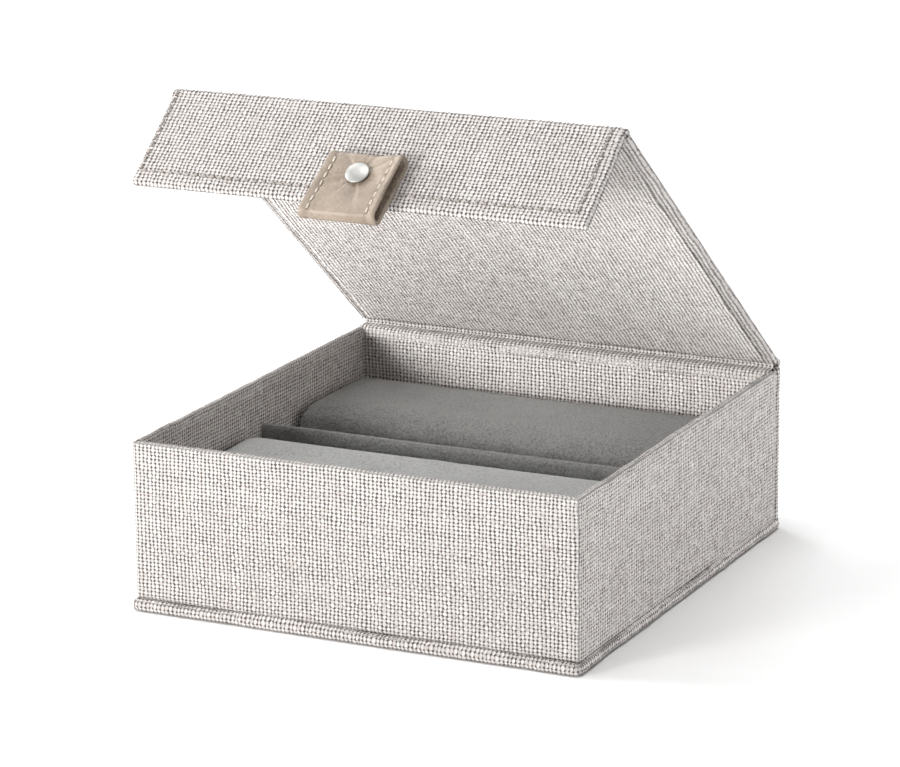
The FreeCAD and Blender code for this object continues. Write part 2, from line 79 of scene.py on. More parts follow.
TRAY_LOW, TRAY_HIGH = span("tray_cover")
BASE_LOW, BASE_HIGH = span("base_cover")
SPINE_LOW, SPINE_HIGH = span("spine_cover")
JOINTS = {joint["name"]: joint for joint in frame["joints"]}
HINGE, FOLD = (np.array(JOINTS[name]["pos_m"][1:]) * 1000.0 for name in ("lid_hinge", "flap_fold"))
LID_OPEN, FLAP_OPEN = (-JOINTS[name]["range_deg"][0] for name in ("lid_hinge", "flap_fold"))
LID_TILT, FLAP_TILT = math.radians(LID_OPEN), math.radians(LID_OPEN + FLAP_OPEN)
LID_LENGTH, FLAP_LENGTH = 167.8, 38.2
SLAB_OUT = 1.5
HALF = TRAY_HIGH[0]
WARP, WEFT = 1.44, 1.27
RELIEF = 0.15


def turned(points, tilt, origin):
    """Points of a tilted part's own frame as points of the row frame: a turn about X, then a shift."""
    points = np.asarray(points, float)
    c, s = math.cos(tilt), math.sin(tilt)
    y = points[..., 1] * c + points[..., 2] * s + origin[0]
    z = -points[..., 1] * s + points[..., 2] * c + origin[1]
    return np.stack([points[..., 0], y, z], -1)


print("tray", TRAY_LOW.round(1), TRAY_HIGH.round(1), "hinge", HINGE.round(2), "fold", FOLD.round(2))

# %% [markdown]
# ## From grids to meshes
# A surface is one or more grids of points. `build` joins grids where their points meet, turns squares that
# have collapsed to triangles into triangles, and keeps the yarn coordinates as a UV map, so that the
# shader's yarns lie exactly on the modelled ones.

# %% Meshes from grids
def quads_of(rows, columns):
    """The corner numbers of every square of a grid, counted row by row."""
    start = (np.arange(rows - 1)[:, None] * columns + np.arange(columns - 1)).ravel()
    return np.stack([start, start + 1, start + columns + 1, start + columns], 1)


def build(name, grids, material):
    """One mesh object from grids of (points in millimetres, yarn coordinates)."""
    points = np.concatenate([p.reshape(-1, 3) for p, _ in grids])
    weave = np.concatenate([w.reshape(-1, 2) for _, w in grids])
    sizes = [p.shape[0] * p.shape[1] for p, _ in grids]
    starts = np.cumsum([0] + sizes[:-1])
    corners = np.concatenate(
        [quads_of(*p.shape[:2]) + start for (p, _), start in zip(grids, starts)]
    )
    _, first, joined = np.unique(
        np.round(points / 0.002).astype(np.int64), axis=0, return_index=True, return_inverse=True
    )
    faces = joined.reshape(-1)[corners]
    kept = faces != np.roll(faces, -1, axis=1)
    whole = kept.sum(1) >= 3
    faces, corners, kept = faces[whole], corners[whole], kept[whole]
    counts = kept.sum(1)
    mesh = bpy.data.meshes.new(name)
    mesh.vertices.add(len(first))
    mesh.vertices.foreach_set("co", (points[first] * 0.001).astype(np.float32).ravel())
    mesh.loops.add(int(counts.sum()))
    mesh.loops.foreach_set("vertex_index", faces[kept].astype(np.int32))
    mesh.polygons.add(len(counts))
    mesh.polygons.foreach_set("loop_start", (np.cumsum(counts) - counts).astype(np.int32))
    mesh.update(calc_edges=True)
    layer = mesh.uv_layers.new(name="Weave")
    layer.data.foreach_set("uv", weave[corners[kept]].astype(np.float32).ravel())
    mesh.validate()
    mesh.shade_smooth()
    mesh.materials.append(material)
    piece = bpy.data.objects.new(name, mesh)
    bpy.context.scene.collection.objects.link(piece)
    return piece


def normals_of(points, closed=False):
    """Unit normals of a grid, from the differences to the neighbouring rows and columns."""
    wide = np.concatenate([points[:, -2:-1], points, points[:, 1:2]], 1) if closed else points
    along = np.gradient(points, axis=0)
    across = np.gradient(wide, axis=1)
    across = across[:, 1:-1] if closed else across
    normal = np.cross(across, along)
    return normal / np.maximum(np.linalg.norm(normal, axis=-1, keepdims=True), 1e-12)


def wander(a, b, seed):
    """A smooth, slow random height between about -1 and 1: six sine waves in random directions, added up."""
    pick = np.random.default_rng(seed)
    turns, lengths, shifts = (pick.uniform(low, high, 6) for low, high in ((0, math.pi), (0.6, 1.9), (0, 7)))
    total = np.zeros(np.broadcast(a, b).shape)
    for turn, length, shift in zip(turns, lengths, shifts):
        total += np.sin((a * math.cos(turn) + b * math.sin(turn)) * length + shift)
    return total / 3.0


# %% [markdown]
# ## The weave
# In a plain weave each yarn goes over one crossing yarn and under the next. The height at (u, v), counted in
# yarns, is the higher of two waves: the upright yarn rises as sin(pi v) and the level one as sin(pi u), with
# opposite signs on neighbouring yarns, and each is round across its own width. Every yarn has its own
# thickness, so that some stand out as slubs.

# %% The height of a plain weave
YARN_U = np.clip(1 + 0.16 * rng.standard_normal(1024), 0.6, 1.5)
YARN_V = np.clip(1 + 0.16 * rng.standard_normal(1024), 0.6, 1.5)
CROSSING = rng.uniform(0.72, 1.28, (256, 256))


def weave_height(weave):
    """Height in millimetres over the mean cloth surface, for yarn coordinates."""
    u, v = weave[..., 0], weave[..., 1]
    i, j = np.floor(u).astype(int), np.floor(v).astype(int)
    thick_u, thick_v = YARN_U[i % 1024], YARN_V[j % 1024]
    sign_i, sign_j = 1 - 2 * (i % 2), 1 - 2 * (j % 2)
    round_u = np.cos(math.pi * (u - i - 0.5)) - 1
    round_v = np.cos(math.pi * (v - j - 0.5)) - 1
    own = CROSSING[i % 256, j % 256]
    upright = 0.23 * own * thick_u * sign_i * np.sin(math.pi * v) + 0.27 * round_u
    level = -0.15 * own * thick_v * sign_j * np.sin(math.pi * u) + 0.27 * round_v
    return np.maximum(upright, level)


def woven(points, weave, closed=False, seed=0):
    """A grid of cloth points raised by the weave, its yarns wandering a little from straight."""
    u, v = weave[..., 0], weave[..., 1]
    normal = normals_of(points, closed)
    fade = np.clip(np.minimum(u - u.min(), u.max() - u) / 6, 0, 1) if closed else 1.0
    swell = wander(u * 0.22, v * 0.22, seed) * 0.05 * fade
    along = np.gradient(points, axis=0)
    along /= np.maximum(np.linalg.norm(along, axis=-1, keepdims=True), 1e-12)
    side = np.cross(along, normal)
    drift = wander(u * 0.9, v * 0.35, seed + 100) * 0.16 + wander(u * 0.11, v * 0.12, seed + 200) * 0.2
    climb = wander(u * 0.35, v * 0.9, seed + 300) * 0.14 + wander(u * 0.12, v * 0.1, seed + 400) * 0.15
    drift, climb = drift * fade, climb * fade
    height = weave_height(weave) + swell - RELIEF
    return points + normal * height[..., None] + side * drift[..., None] + along * climb[..., None]


print("yarns: thinnest", YARN_U.min().round(2), "thickest", YARN_U.max().round(2))

# %% [markdown]
# ## Shaders
# A small class wraps a node socket, so that shader arithmetic reads like plain arithmetic. Any other node
# comes from one method that takes a type, its settings and its inputs.

# %% Shader arithmetic
class Socket:
    """A node's output socket with arithmetic on it."""

    def __init__(self, shader, socket):
        self.shader, self.socket = shader, socket

    def math(self, operation, *others):
        values = dict(enumerate((self, *others)))
        return self.shader.node("ShaderNodeMath", {"operation": operation}, values)

    def __add__(self, other):
        return self.math("ADD", other)

    def __sub__(self, other):
        return self.math("SUBTRACT", other)

    def __mul__(self, other):
        return self.math("MULTIPLY", other)

    def __rsub__(self, other):
        return (self * -1.0) + other

    __radd__ = __add__
    __rmul__ = __mul__

    def steps(self, low, high):
        """0 below low, 1 above high, and smooth between."""
        settings = {"interpolation_type": "SMOOTHSTEP"}
        return self.shader.node("ShaderNodeMapRange", settings, {0: self, 1: low, 2: high})


class Shader:
    """A material whose nodes are made one by one."""

    def __init__(self, name, **constants):
        self.material = bpy.data.materials.new(name)
        self.material.use_nodes = True
        self.tree = self.material.node_tree
        self.surface = self.tree.nodes["Principled BSDF"]
        for key, value in constants.items():
            self.surface.inputs[key.replace("_", " ")].default_value = value

    def node(self, kind, settings=None, values=None, output=0):
        made = self.tree.nodes.new(kind)
        for key, value in (settings or {}).items():
            setattr(made, key, value)
        for key, value in (values or {}).items():
            if isinstance(value, Socket):
                self.tree.links.new(value.socket, made.inputs[key])
            else:
                made.inputs[key].default_value = value
        return Socket(self, made.outputs[output])

    def feed(self, name, socket):
        self.tree.links.new(socket.socket, self.surface.inputs[name])

    def place(self):
        return self.node("ShaderNodeTexCoord", output=3)

    def noise(self, where, scale, detail=2.0, rough=0.5):
        values = {"Vector": where, "Scale": scale, "Detail": detail, "Roughness": rough}
        return self.node("ShaderNodeTexNoise", None, values)

    def mix(self, share, first, second):
        return self.node("ShaderNodeMix", {"data_type": "RGBA"}, {0: share, 6: first, 7: second}, 2)

    def bump(self, height, strength, distance):
        values = {"Height": height, "Strength": strength, "Distance": distance}
        self.feed("Normal", self.node("ShaderNodeBump", None, values))


# %% [markdown]
# ## Linen
# The shader reads the same yarn coordinates as the mesh. It finds which yarn is on top at each crossing,
# gives every yarn its own tone, paints shade on the yarns' sides and on the sunk yarn of each crossing,
# paints the small openings where four yarns meet near black as painted shade, and runs fine fibres along the
# top yarn as a bump.

# %% Linen
def linen_material():
    """Undyed linen: pale yarns, with painted shade on their sides and dark painted shade in the openings
    between them.
    """
    shader = Shader("linen", Roughness=0.95, Specular_IOR_Level=0.15, Sheen_Weight=0.12, Sheen_Roughness=0.6)
    weave = shader.node("ShaderNodeUVMap", {"uv_map": "Weave"})
    u = shader.node("ShaderNodeSeparateXYZ", None, {0: weave}, 0)
    v = shader.node("ShaderNodeSeparateXYZ", None, {0: weave}, 1)
    place = shader.place()
    u = u + (shader.noise(place, 380.0) - 0.5) * 0.62
    v = v + (shader.noise(place, 430.0) - 0.5) * 0.62
    i, j = u.math("FLOOR"), v.math("FLOOR")
    fu, fv = (u - i - 0.5).math("ABSOLUTE"), (v - j - 0.5).math("ABSOLUTE")
    over = ((i + j) * 0.5).math("FRACT").math("GREATER_THAN", 0.25)
    tone_u, tone_v, crossing = (
        shader.node("ShaderNodeTexWhiteNoise", {"noise_dimensions": "1D"}, {"W": number})
        for number in (i * 1.37 + 4.0, j * 1.91 + 9.0, i * 7.13 + j * 3.71)
    )
    tone = tone_v + (tone_u - tone_v) * over
    fleck = shader.noise(place, 900.0, 3.0, 0.6)
    patch = shader.noise(place, 42.0, 3.0, 0.55)
    sunk = 1.0 - over
    # painted shade: the openings where four yarns meet are mixed towards near black further down
    opening = (fu * 1.10 + fv * 0.90 + sunk * 0.06 + crossing * 0.19).steps(0.59, 0.94)
    # painted shade: the yarns' sides, where they curve down, and the sunk yarn of each crossing are darkened
    # towards grey-brown
    side_u, side_v = fu.steps(0.24, 0.48), fv.steps(0.28, 0.5)
    shade = side_u * over * 0.95 + (side_v * 0.6 + side_u * 0.3) * sunk
    light = tone * 0.30 + fleck * 0.55 + patch * 0.20 + crossing * 0.30 - 0.20
    yarn = shader.mix(light, (0.58, 0.535, 0.51, 1), (1.0, 0.985, 0.97, 1))
    dimmed = shader.mix(shade * 0.55 + sunk * 0.08, yarn, (0.27, 0.22, 0.205, 1))
    finish = shader.mix(opening * 0.92, dimmed, (0.085, 0.060, 0.054, 1))
    shader.feed("Base Color", finish)
    along = fv * over + fu * sunk
    across = fu * over + fv * sunk
    twist = ((along * 9.0 + across * 15.0).math("SINE")) * 0.5 + 0.5
    height = (1.0 - across * across * 3.2) * 0.75 + twist * 0.14 + fleck * 0.35 - opening * 0.6 + over * 0.2
    shader.bump(height, 0.85, 0.00036)
    return shader.material


LINEN = linen_material()

# %% [markdown]
# ## Suede, leather and the small materials
# Suede has no weave, only a nap whose tone shifts slowly where fingers have brushed it. The leather has
# pores and fine creases. Board, wadding, thread and metal each have a little grain of their own.

# %% Other finishes
def suede_material(name, dark, pale):
    """Brushed suede: a soft nap with slow changes of tone and a fine tooth."""
    shader = Shader(name, Roughness=0.97, Specular_IOR_Level=0.1, Sheen_Weight=0.35, Sheen_Roughness=0.45)
    place = shader.place()
    slow = shader.noise(place, 22.0, 3.0, 0.6)
    brushed = shader.noise(place, 130.0, 2.0, 0.55)
    tooth = shader.noise(place, 1250.0, 3.0, 0.7)
    shader.feed("Base Color", shader.mix(slow * 0.7 + brushed * 0.5 + tooth * 3.4 - 1.56, dark, pale))
    shader.bump(tooth * 1.2 + brushed * 0.6, 0.9, 0.0006)
    return shader.material


def leather_material(name, dark, pale, rough):
    """Smooth leather: pores, fine creases, and a slow change of tone."""
    shader = Shader(name, Specular_IOR_Level=0.4, Coat_Weight=0.3, Coat_Roughness=0.32)
    place = shader.place()
    slow = shader.noise(place, 70.0, 3.0, 0.55)
    grain = shader.noise(place, 800.0, 4.0, 0.65)
    values = {"Vector": place, "Scale": 1150.0, "Randomness": 1.0}
    pores = shader.node("ShaderNodeTexVoronoi", {"feature": "DISTANCE_TO_EDGE"}, values)
    vein = 1.0 - pores.steps(0.0, 0.16)
    shader.feed("Base Color", shader.mix(slow * 0.8 + grain * 0.5 - vein * 0.15, dark, pale))
    shader.feed("Roughness", slow * 0.22 + rough)
    shader.bump(grain * 0.5 - vein * 0.4 + slow * 1.2, 0.6, 0.0003)
    return shader.material


def grained_material(name, dark, pale, scale, rough, metallic=0.0, depth=0.00005):
    """A plain finish with a fine grain in its tone, roughness and surface."""
    shader = Shader(name, Metallic=metallic)
    grain = shader.noise(shader.place(), scale, 4.0, 0.6)
    shader.feed("Base Color", shader.mix(grain, dark, pale))
    shader.feed("Roughness", grain * 0.2 + rough)
    shader.bump(grain, 0.4, depth)
    return shader.material


def thread_material(name, dark, pale):
    """Sewing thread: two twisted plies as slanted ridges, with painted shade where a stitch dives into its
    hole.
    """
    shader = Shader(name, Roughness=0.75, Sheen_Weight=0.2)
    weave = shader.node("ShaderNodeUVMap", {"uv_map": "Weave"})
    u = shader.node("ShaderNodeSeparateXYZ", None, {0: weave}, 0)
    v = shader.node("ShaderNodeSeparateXYZ", None, {0: weave}, 1)
    ply = ((u * 6.2832 + v * 26.0).math("SINE")) * 0.5 + 0.5
    fluff = shader.noise(shader.place(), 3000.0)
    # painted shade: each stitch darkens towards both ends, where it dives into its hole
    ends = (v - 0.5).math("ABSOLUTE").steps(0.24, 0.42)
    thread = shader.mix(ply * 0.6 + fluff * 0.4, dark, pale)
    shader.feed("Base Color", shader.mix(ends * 0.85, thread, (0.075, 0.060, 0.050, 1)))
    shader.bump(ply + fluff * 0.3, 0.8, 0.00008)
    return shader.material


SUEDE = suede_material("suede", (0.165, 0.167, 0.163, 1), (0.36, 0.362, 0.354, 1))
LEATHER = leather_material("tab_leather", (0.14, 0.099, 0.069, 1), (0.485, 0.395, 0.310, 1), 0.30)
PLY = suede_material("tab_lining", (0.20, 0.152, 0.115, 1), (0.50, 0.41, 0.33, 1))
BOARD = grained_material("grey_board", (0.24, 0.235, 0.225, 1), (0.36, 0.35, 0.33, 1), 700.0, 0.85)
WADDING = grained_material("wadding", (0.72, 0.71, 0.69, 1), (0.86, 0.85, 0.83, 1), 900.0, 0.9, 0.0, 0.0003)
THREAD = thread_material("thread", (0.24, 0.20, 0.18, 1), (0.66, 0.61, 0.555, 1))
CREAM = thread_material("tab_thread", (0.50, 0.43, 0.35, 1), (0.88, 0.81, 0.71, 1))
SILVER = (0.27, 0.267, 0.256, 1), (0.44, 0.436, 0.42, 1)
METAL = grained_material("rivet_metal", *SILVER, 1300.0, 0.36, 1.0, 0.00003)
MAGNET = grained_material("magnet", (0.42, 0.42, 0.43, 1), (0.56, 0.56, 0.57, 1), 500.0, 0.25, 1.0, 0.00002)
print("materials:", len(bpy.data.materials))

# %% [markdown]
# ## Cloth round a ring of walls
# A ring grid follows a rounded rectangle. Its columns are the upright yarns, its rows the level ones. A row
# has an inset from the outline, a height and its own corner radius, so the same columns run up the outside,
# over the rim and down the inside, and the corners stay mitred.

# %% Ring grids
def outline(share, low, high, inset, back_inset, radius):
    """Points of a rounded rectangle for each row (inset) and column (share of each of its eight runs)."""
    run, t = share
    left, right = low[0] + inset, high[0] - inset
    front, back = low[1] + inset, high[1] - back_inset
    corners = [(right, front, 1, -1), (right, back, 1, 1), (left, back, -1, 1), (left, front, -1, -1)]
    x = np.zeros((len(inset), len(run)))
    y = np.zeros_like(x)
    for k, (cx, cy, sx, sy) in enumerate(corners):
        on = run == 2 * k + 1
        angle = math.radians(-90 + 90 * k) + t[on] * math.pi / 2
        x[:, on] = (cx - sx * radius)[:, None] + radius[:, None] * np.cos(angle)
        y[:, on] = (cy - sy * radius)[:, None] + radius[:, None] * np.sin(angle)
    ends = [(left + radius, front, right - radius, front), (right, front + radius, right, back - radius)]
    ends += [(right - radius, back, left + radius, back), (left, back - radius, left, front + radius)]
    for k, (x0, y0, x1, y1) in enumerate(ends):
        on = run == 2 * k
        x[:, on] = x0[:, None] + (x1 - x0)[:, None] * t[on]
        y[:, on] = y0[:, None] + (y1 - y0)[:, None] * t[on]
    return x, y


def runs_of(low, high, radius):
    """The columns of a ring at half-yarn steps: the run of the eight each is on, how far along, and its u."""
    width, depth = high[0] - low[0] - 2 * radius, high[1] - low[1] - 2 * radius
    bend = radius * math.pi / 2
    lengths = np.array([width, bend, depth, bend, width, bend, depth, bend])
    ends = np.cumsum(lengths)
    yarns = 2 * round(ends[-1] / WARP / 2)
    u = np.arange(2 * yarns + 1) / 2
    along = u / yarns * ends[-1]
    run = np.minimum(np.searchsorted(ends, along, side="right"), 7)
    return (run, (along - (ends - lengths)[run]) / lengths[run]), u


def ring(low, high, radius, inset, back_inset, height, v):
    """A ring grid and its yarn coordinates. A row's corner radius is the outline's less its inset."""
    share, u = runs_of(low, high, radius)
    x, y = outline(share, low, high, inset, back_inset, np.maximum(radius - inset, 0.35))
    z = np.broadcast_to(height[:, None], x.shape)
    weave = np.stack(np.broadcast_arrays(u[None], v[:, None]), -1)
    points = np.stack([x, y, z], -1)
    points[:, -1] = points[:, 0]
    return points, weave


def stepped(profile, pitch, start=0.0):
    """A line of (inset, height) corners as points at half-yarn steps, with their yarn numbers."""
    profile = np.asarray(profile, float)
    length = np.concatenate([[0], np.cumsum(np.linalg.norm(np.diff(profile, axis=0), axis=1))])
    count = max(2, round(length[-1] / pitch * 2))
    at = np.linspace(0, length[-1], count + 1)
    yarns = start + np.arange(count + 1) / 2
    return [np.interp(at, length, profile[:, k]) for k in range(profile.shape[1])] + [yarns]


def bend(centre, radius, start, stop, count=10):
    """Points of an arc, with angles in degrees."""
    angle = np.radians(np.linspace(start, stop, count))
    return np.stack([centre[0] + radius * np.cos(angle), centre[1] + radius * np.sin(angle)], 1)


# %% [markdown]
# ## The base, the tray's outside and its lining
# The outer cloth starts under the tray's lower edge, goes up the walls, over the rim and a little way down
# the inside. The lining is a separate cloth whose upper edge lies just under the rim. The base's cloth
# bulges softly, which leaves a dark groove between it and the tray.

# %% Base and tray
def tray_outside():
    """The cloth outside the tray walls and over the rim."""
    top, low = TRAY_HIGH[2], TRAY_LOW[2]
    foot = bend((1.1, low + 1.15), 1.1, 270, 180)
    over = bend((1.5, top - 1.5), 1.5, 180, 0, 14)
    profile = np.concatenate([[(4.0, low + 0.05)], foot, over, [(3.0, top - 4.2)]])
    inset, height, v = stepped(profile, WEFT)
    points, weave = ring(TRAY_LOW, TRAY_HIGH, 1.6, inset, inset * (5.0 / 3.0), height, v)
    edge = np.exp(-(((points[..., 2] - top) / 3.0) ** 2))
    points[..., 2] += edge * (wander(weave[..., 0] * 0.35, weave[..., 0] * 0.0, 3) * 0.16 - 0.05)
    return build("tray_cloth", [(woven(points, weave, True, seed=1), weave)], LINEN)


def tray_inside():
    """The lining of the tray walls, from just under the rim down to the floor."""
    top = TRAY_HIGH[2] - 1.5
    lip = bend((2.72, top - 0.3), 0.28, 90, 0, 4)
    profile = np.concatenate([[(2.5, top - 0.9)], lip, [(3.0, 6.6)]])
    inset, height, v = stepped(profile, WEFT, 53.0)
    points, weave = ring(TRAY_LOW, TRAY_HIGH, 1.6, inset, inset * (5.0 / 3.0), height, v)
    edge = np.exp(-(((points[..., 2] - top) / 1.5) ** 2))
    points[..., 2] += edge * wander(weave[..., 0] * 0.3, 0.0, 7) * 0.1
    return build("tray_lining", [(woven(points, weave, True, seed=2), weave)], LINEN)


def base_wrap():
    """The base's cloth: in under the tray, round the bulging edge, and flat underneath."""
    top = BASE_HIGH[2]
    edge = bend((2.0, 2.0), 1.95, 90, 270, 16)
    profile = np.concatenate([[(6.5, top - 0.05), (3.2, top - 0.1)], edge, [(12.0, 0.0)]])
    profile[:, 1] = np.clip(profile[:, 1], 0.05, top)
    inset, height, v = stepped(profile, WEFT)
    points, weave = ring(BASE_LOW, BASE_HIGH, 2.2, inset, inset, height, v)
    bulge = np.clip(1 - np.abs(points[..., 2] - 2.0) / 2.2, 0, 1)
    swell = wander(weave[..., 0] * 0.16, 0.0, 21) * 0.32 + wander(weave[..., 0] * 0.7, 0.0, 22) * 0.14
    normal = normals_of(points, True)
    fade = np.clip(np.minimum(weave[..., 0], weave[..., 0].max() - weave[..., 0]) / 8, 0, 1)
    points = points + normal * (bulge * fade * (swell - 0.15))[..., None]
    points[..., 2] += np.clip(points[..., 2] - 2.5, 0, 2) * fade * wander(weave[..., 0] * 0.11, 0.0, 23) * 0.3
    under = np.linspace(0, 1, 41)
    x = BASE_LOW[0] + 11.5 + under * (BASE_HIGH[0] - BASE_LOW[0] - 23)
    y = BASE_LOW[1] + 11.5 + under * (BASE_HIGH[1] - BASE_LOW[1] - 23)
    flat = np.stack([*np.meshgrid(x, y[::-1]), np.full((41, 41), 0.12)], -1)
    sheet = (flat, flat[..., :2] / (WARP, WEFT))
    cloth = woven(points, weave, True, seed=4)
    cloth[..., 2] = np.maximum(cloth[..., 2], 0.0)
    return build("base_cloth", [(cloth, weave), sheet], LINEN)


tray_cloth, tray_lining, base_cloth = tray_outside(), tray_inside(), base_wrap()
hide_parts("tray_cover")
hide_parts("base_cover")
for piece in (tray_cloth, tray_lining, base_cloth):
    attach(piece, "tray")
    print(piece.name, len(piece.data.polygons), "faces")

# %% [markdown]
# ## Cloth over the spine, the lid and the flap
# One path in the Y-Z plane runs up the spine, round the hinge line, along the lid, round the fold line and
# down the flap. The cloth is a grid over that path. Past a board's edge the cloth turns: a quarter round,
# down the side, a second quarter round, and back in underneath. At a corner the side's turn and the end's
# turn share the corner square, which is bent into a quarter disc, and that is the mitre of a hand-folded
# corner. ARC_MIDDLES are the numbers of the path's points halfway round the two arcs.

# %% The path of the outer cloth
def hinge_arc(origin, start, stop, first, last, count=24):
    """An arc round a hinge line, its radius easing from first to last. Angles are radians from +Y to +Z."""
    share = np.linspace(0, 1, count)
    angle, radius = start + (stop - start) * share, first + (last - first) * share * share * (3 - 2 * share)
    return np.stack([origin[0] + radius * np.cos(angle), origin[1] + radius * np.sin(angle)], 1)


LID_NORMAL = math.pi / 2 - LID_TILT
FLAP_NORMAL = math.pi - FLAP_TILT
PATH_POINTS = np.concatenate([
    [(SPINE_HIGH[1], SPINE_LOW[2])],
    hinge_arc(HINGE, 0.0, LID_NORMAL, SPINE_HIGH[1] - HINGE[0], SLAB_OUT),
    hinge_arc(FOLD, LID_NORMAL, FLAP_NORMAL, SLAB_OUT, SLAB_OUT),
    turned([(0, -SLAB_OUT, -FLAP_LENGTH + 1.25)], FLAP_TILT, FOLD)[:, 1:],
])
PATH_LENGTH = np.concatenate([[0], np.cumsum(np.linalg.norm(np.diff(PATH_POINTS, axis=0), axis=1))])
FINE = np.linspace(0, PATH_LENGTH[-1], 6001)
FINE_POINTS = np.stack([np.interp(FINE, PATH_LENGTH, PATH_POINTS[:, k]) for k in (0, 1)], 1)
KERNEL = np.hanning(15)[1:-1] / np.hanning(15)[1:-1].sum()
TANGENT = np.gradient(FINE_POINTS, axis=0)
TANGENT = np.stack([np.convolve(np.pad(TANGENT[:, k], 6, mode="edge"), KERNEL, "valid") for k in (0, 1)], 1)
TANGENT /= np.linalg.norm(TANGENT, axis=1, keepdims=True)
ARC_MIDDLES = 13, 37
HINGE_AT, FOLD_AT = (PATH_LENGTH[number] for number in ARC_MIDDLES)
SPLIT_AT = round((FOLD_AT - 8.5) / WEFT * 2) / 2 * WEFT


def on_path(s, down):
    """The point of the Y-Z plane at distance s along the path and at a depth under it."""
    y, z = (np.interp(s, FINE, FINE_POINTS[:, k]) for k in (0, 1))
    ty, tz = (np.interp(s, FINE, TANGENT[:, k]) for k in (0, 1))
    size = np.hypot(ty, tz)
    return y - tz / size * down, z + ty / size * down


def turned_edge(past, radius, depth):
    """How far out and how deep cloth lies past the flat face: round, straight, round and back in."""
    quarter = radius * math.pi / 2
    side = np.maximum(depth - 2 * radius, 0)
    first = np.clip(past / radius, 0, math.pi / 2)
    straight = np.clip(past - quarter, 0, side)
    second = np.clip((past - quarter - side) / radius, 0, math.pi / 2)
    back = np.clip(past - 2 * quarter - side, 0, None)
    out = radius * np.sin(first) - radius * (1 - np.cos(second)) - back
    down = radius * (1 - np.cos(first)) + straight + radius * np.sin(second)
    return out, down


def wrapped(p, q, half, length, radius, depth):
    """A board wrap: clamp (p, q) to the flat face, then bend what is left over the edge and the corner."""
    flat_p, flat_q = np.clip(p, -half, half), np.clip(q, 0, length)
    over_p, over_q = np.abs(p) - np.abs(flat_p), np.abs(q - flat_q)
    past = np.maximum(over_p, over_q)
    ratio = np.minimum(over_p, over_q) / np.maximum(past, 1e-9)
    angle = np.where(over_p >= over_q, ratio, 2 - ratio) * math.pi / 4
    out, down = turned_edge(past, radius, depth)
    x = flat_p + np.sign(p) * out * np.cos(angle)
    return x, flat_q + np.sign(q - flat_q) * out * np.sin(angle), down


def columns_for(half, past, pitch):
    """Half-yarn steps from side to side, past both edges."""
    count = math.ceil((half + past) / pitch * 2)
    return np.arange(-count, count + 1) / 2


# %% [markdown]
# The outer cloth is two pieces, because a cloth can bend about only one joint. Their edges share the same row
# of points, a little before the fold.

# %% Outer cloth
def depth_at(s):
    """How thick the wrapped board is along the path: spine, hinge gap, lid, fold gap, flap."""
    at_hinge = [HINGE_AT + step for step in (-3.4, -1.9, 0.9, 2.4)]
    at_fold = [FOLD_AT + step for step in (-4.2, -2.6, 2.6, 4.2)]
    return np.interp(s, at_hinge + at_fold, [3.5, 0.8, 0.8, 2.5, 2.5, 0.8, 0.8, 2.5])


def outer_cloth(name, start, stop, ends, seed):
    """A stretch of the outer cloth from start to stop along the path; with ends, it turns under at stop."""
    past = 6.4
    u = columns_for(HALF - 1.25, past, WARP)
    first = round(start / WEFT * 2)
    last = math.ceil((stop + past) / WEFT * 2) if ends else round(stop / WEFT * 2)
    v = np.arange(first, last + 1) / 2
    p, q = np.meshgrid(u * WARP, v * WEFT)
    depth = depth_at(q)
    radius = np.minimum(1.25, depth / 2)
    length = stop if ends else 1e6
    x, s, down = wrapped(p, q, HALF - 1.25, length, radius, depth)
    x = np.where(np.abs(p) > HALF - 1.25, x + np.sign(p) * (1.25 - radius), x)
    y, z = on_path(np.clip(s, 0, FINE[-1]), down)
    over = np.clip(s - FINE[-1], 0, None)
    y, z = y + TANGENT[-1, 0] * over, z + TANGENT[-1, 1] * over
    points = np.stack([x, y, z], -1)
    weave = np.stack(np.broadcast_arrays(u[None], v[:, None]), -1)
    return build(name, [(woven(points, weave, seed=seed), weave)], LINEN)


lid_cloth = outer_cloth("lid_cloth", 0.0, SPLIT_AT, False, 5)
flap_cloth = outer_cloth("flap_cloth", SPLIT_AT, FINE[-1], True, 5)
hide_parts("spine_cover", "lid_cover", "lid_hinge_cloth")
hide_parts("flap_cover", "flap_hinge_cloth")
for piece in (lid_cloth, flap_cloth):
    print(piece.name, len(piece.data.polygons), "faces")

# %% [markdown]
# ## Linings and the inner hinge cloths
# The lid's and the flap's linings are thin cloth-covered cards. A strip of the same cloth bridges each hinge
# on the inside, with its ends under the cards and over the back rim.

# %% Inner cloths
def card(name, half, start, stop, face, place, seed):
    """A lining card: a flat face with small turned edges. place takes (x, along, height) to points."""
    radius, depth = 0.22, 0.46
    past = radius * math.pi + 0.3
    u = columns_for(half - radius, past, WARP)
    first, last = (start + radius - past) / WEFT * 2, (stop - radius + past) / WEFT * 2
    v = np.arange(math.floor(first), math.ceil(last) + 1) / 2
    p, q = np.meshgrid(u * WARP, v * WEFT - start - radius)
    x, along, down = wrapped(p, q, half - radius, stop - start - 2 * radius, radius, depth)
    weave = np.stack(np.broadcast_arrays(u[None], v[:, None]), -1)
    points = place(x, along + start + radius, face - down)
    return build(name, [(woven(points, weave, seed=seed), weave)], LINEN)


def on_lid(x, along, height):
    """A point of the lid's underside: along from the hinge, height below the lid's middle."""
    return turned(np.stack([-x, -along, -height], -1), LID_TILT, HINGE)


def on_flap(x, along, height):
    """A point of the flap's inner face: along from the fold, height behind the flap's middle."""
    return turned(np.stack([-x, height, -along], -1), FLAP_TILT, FOLD)


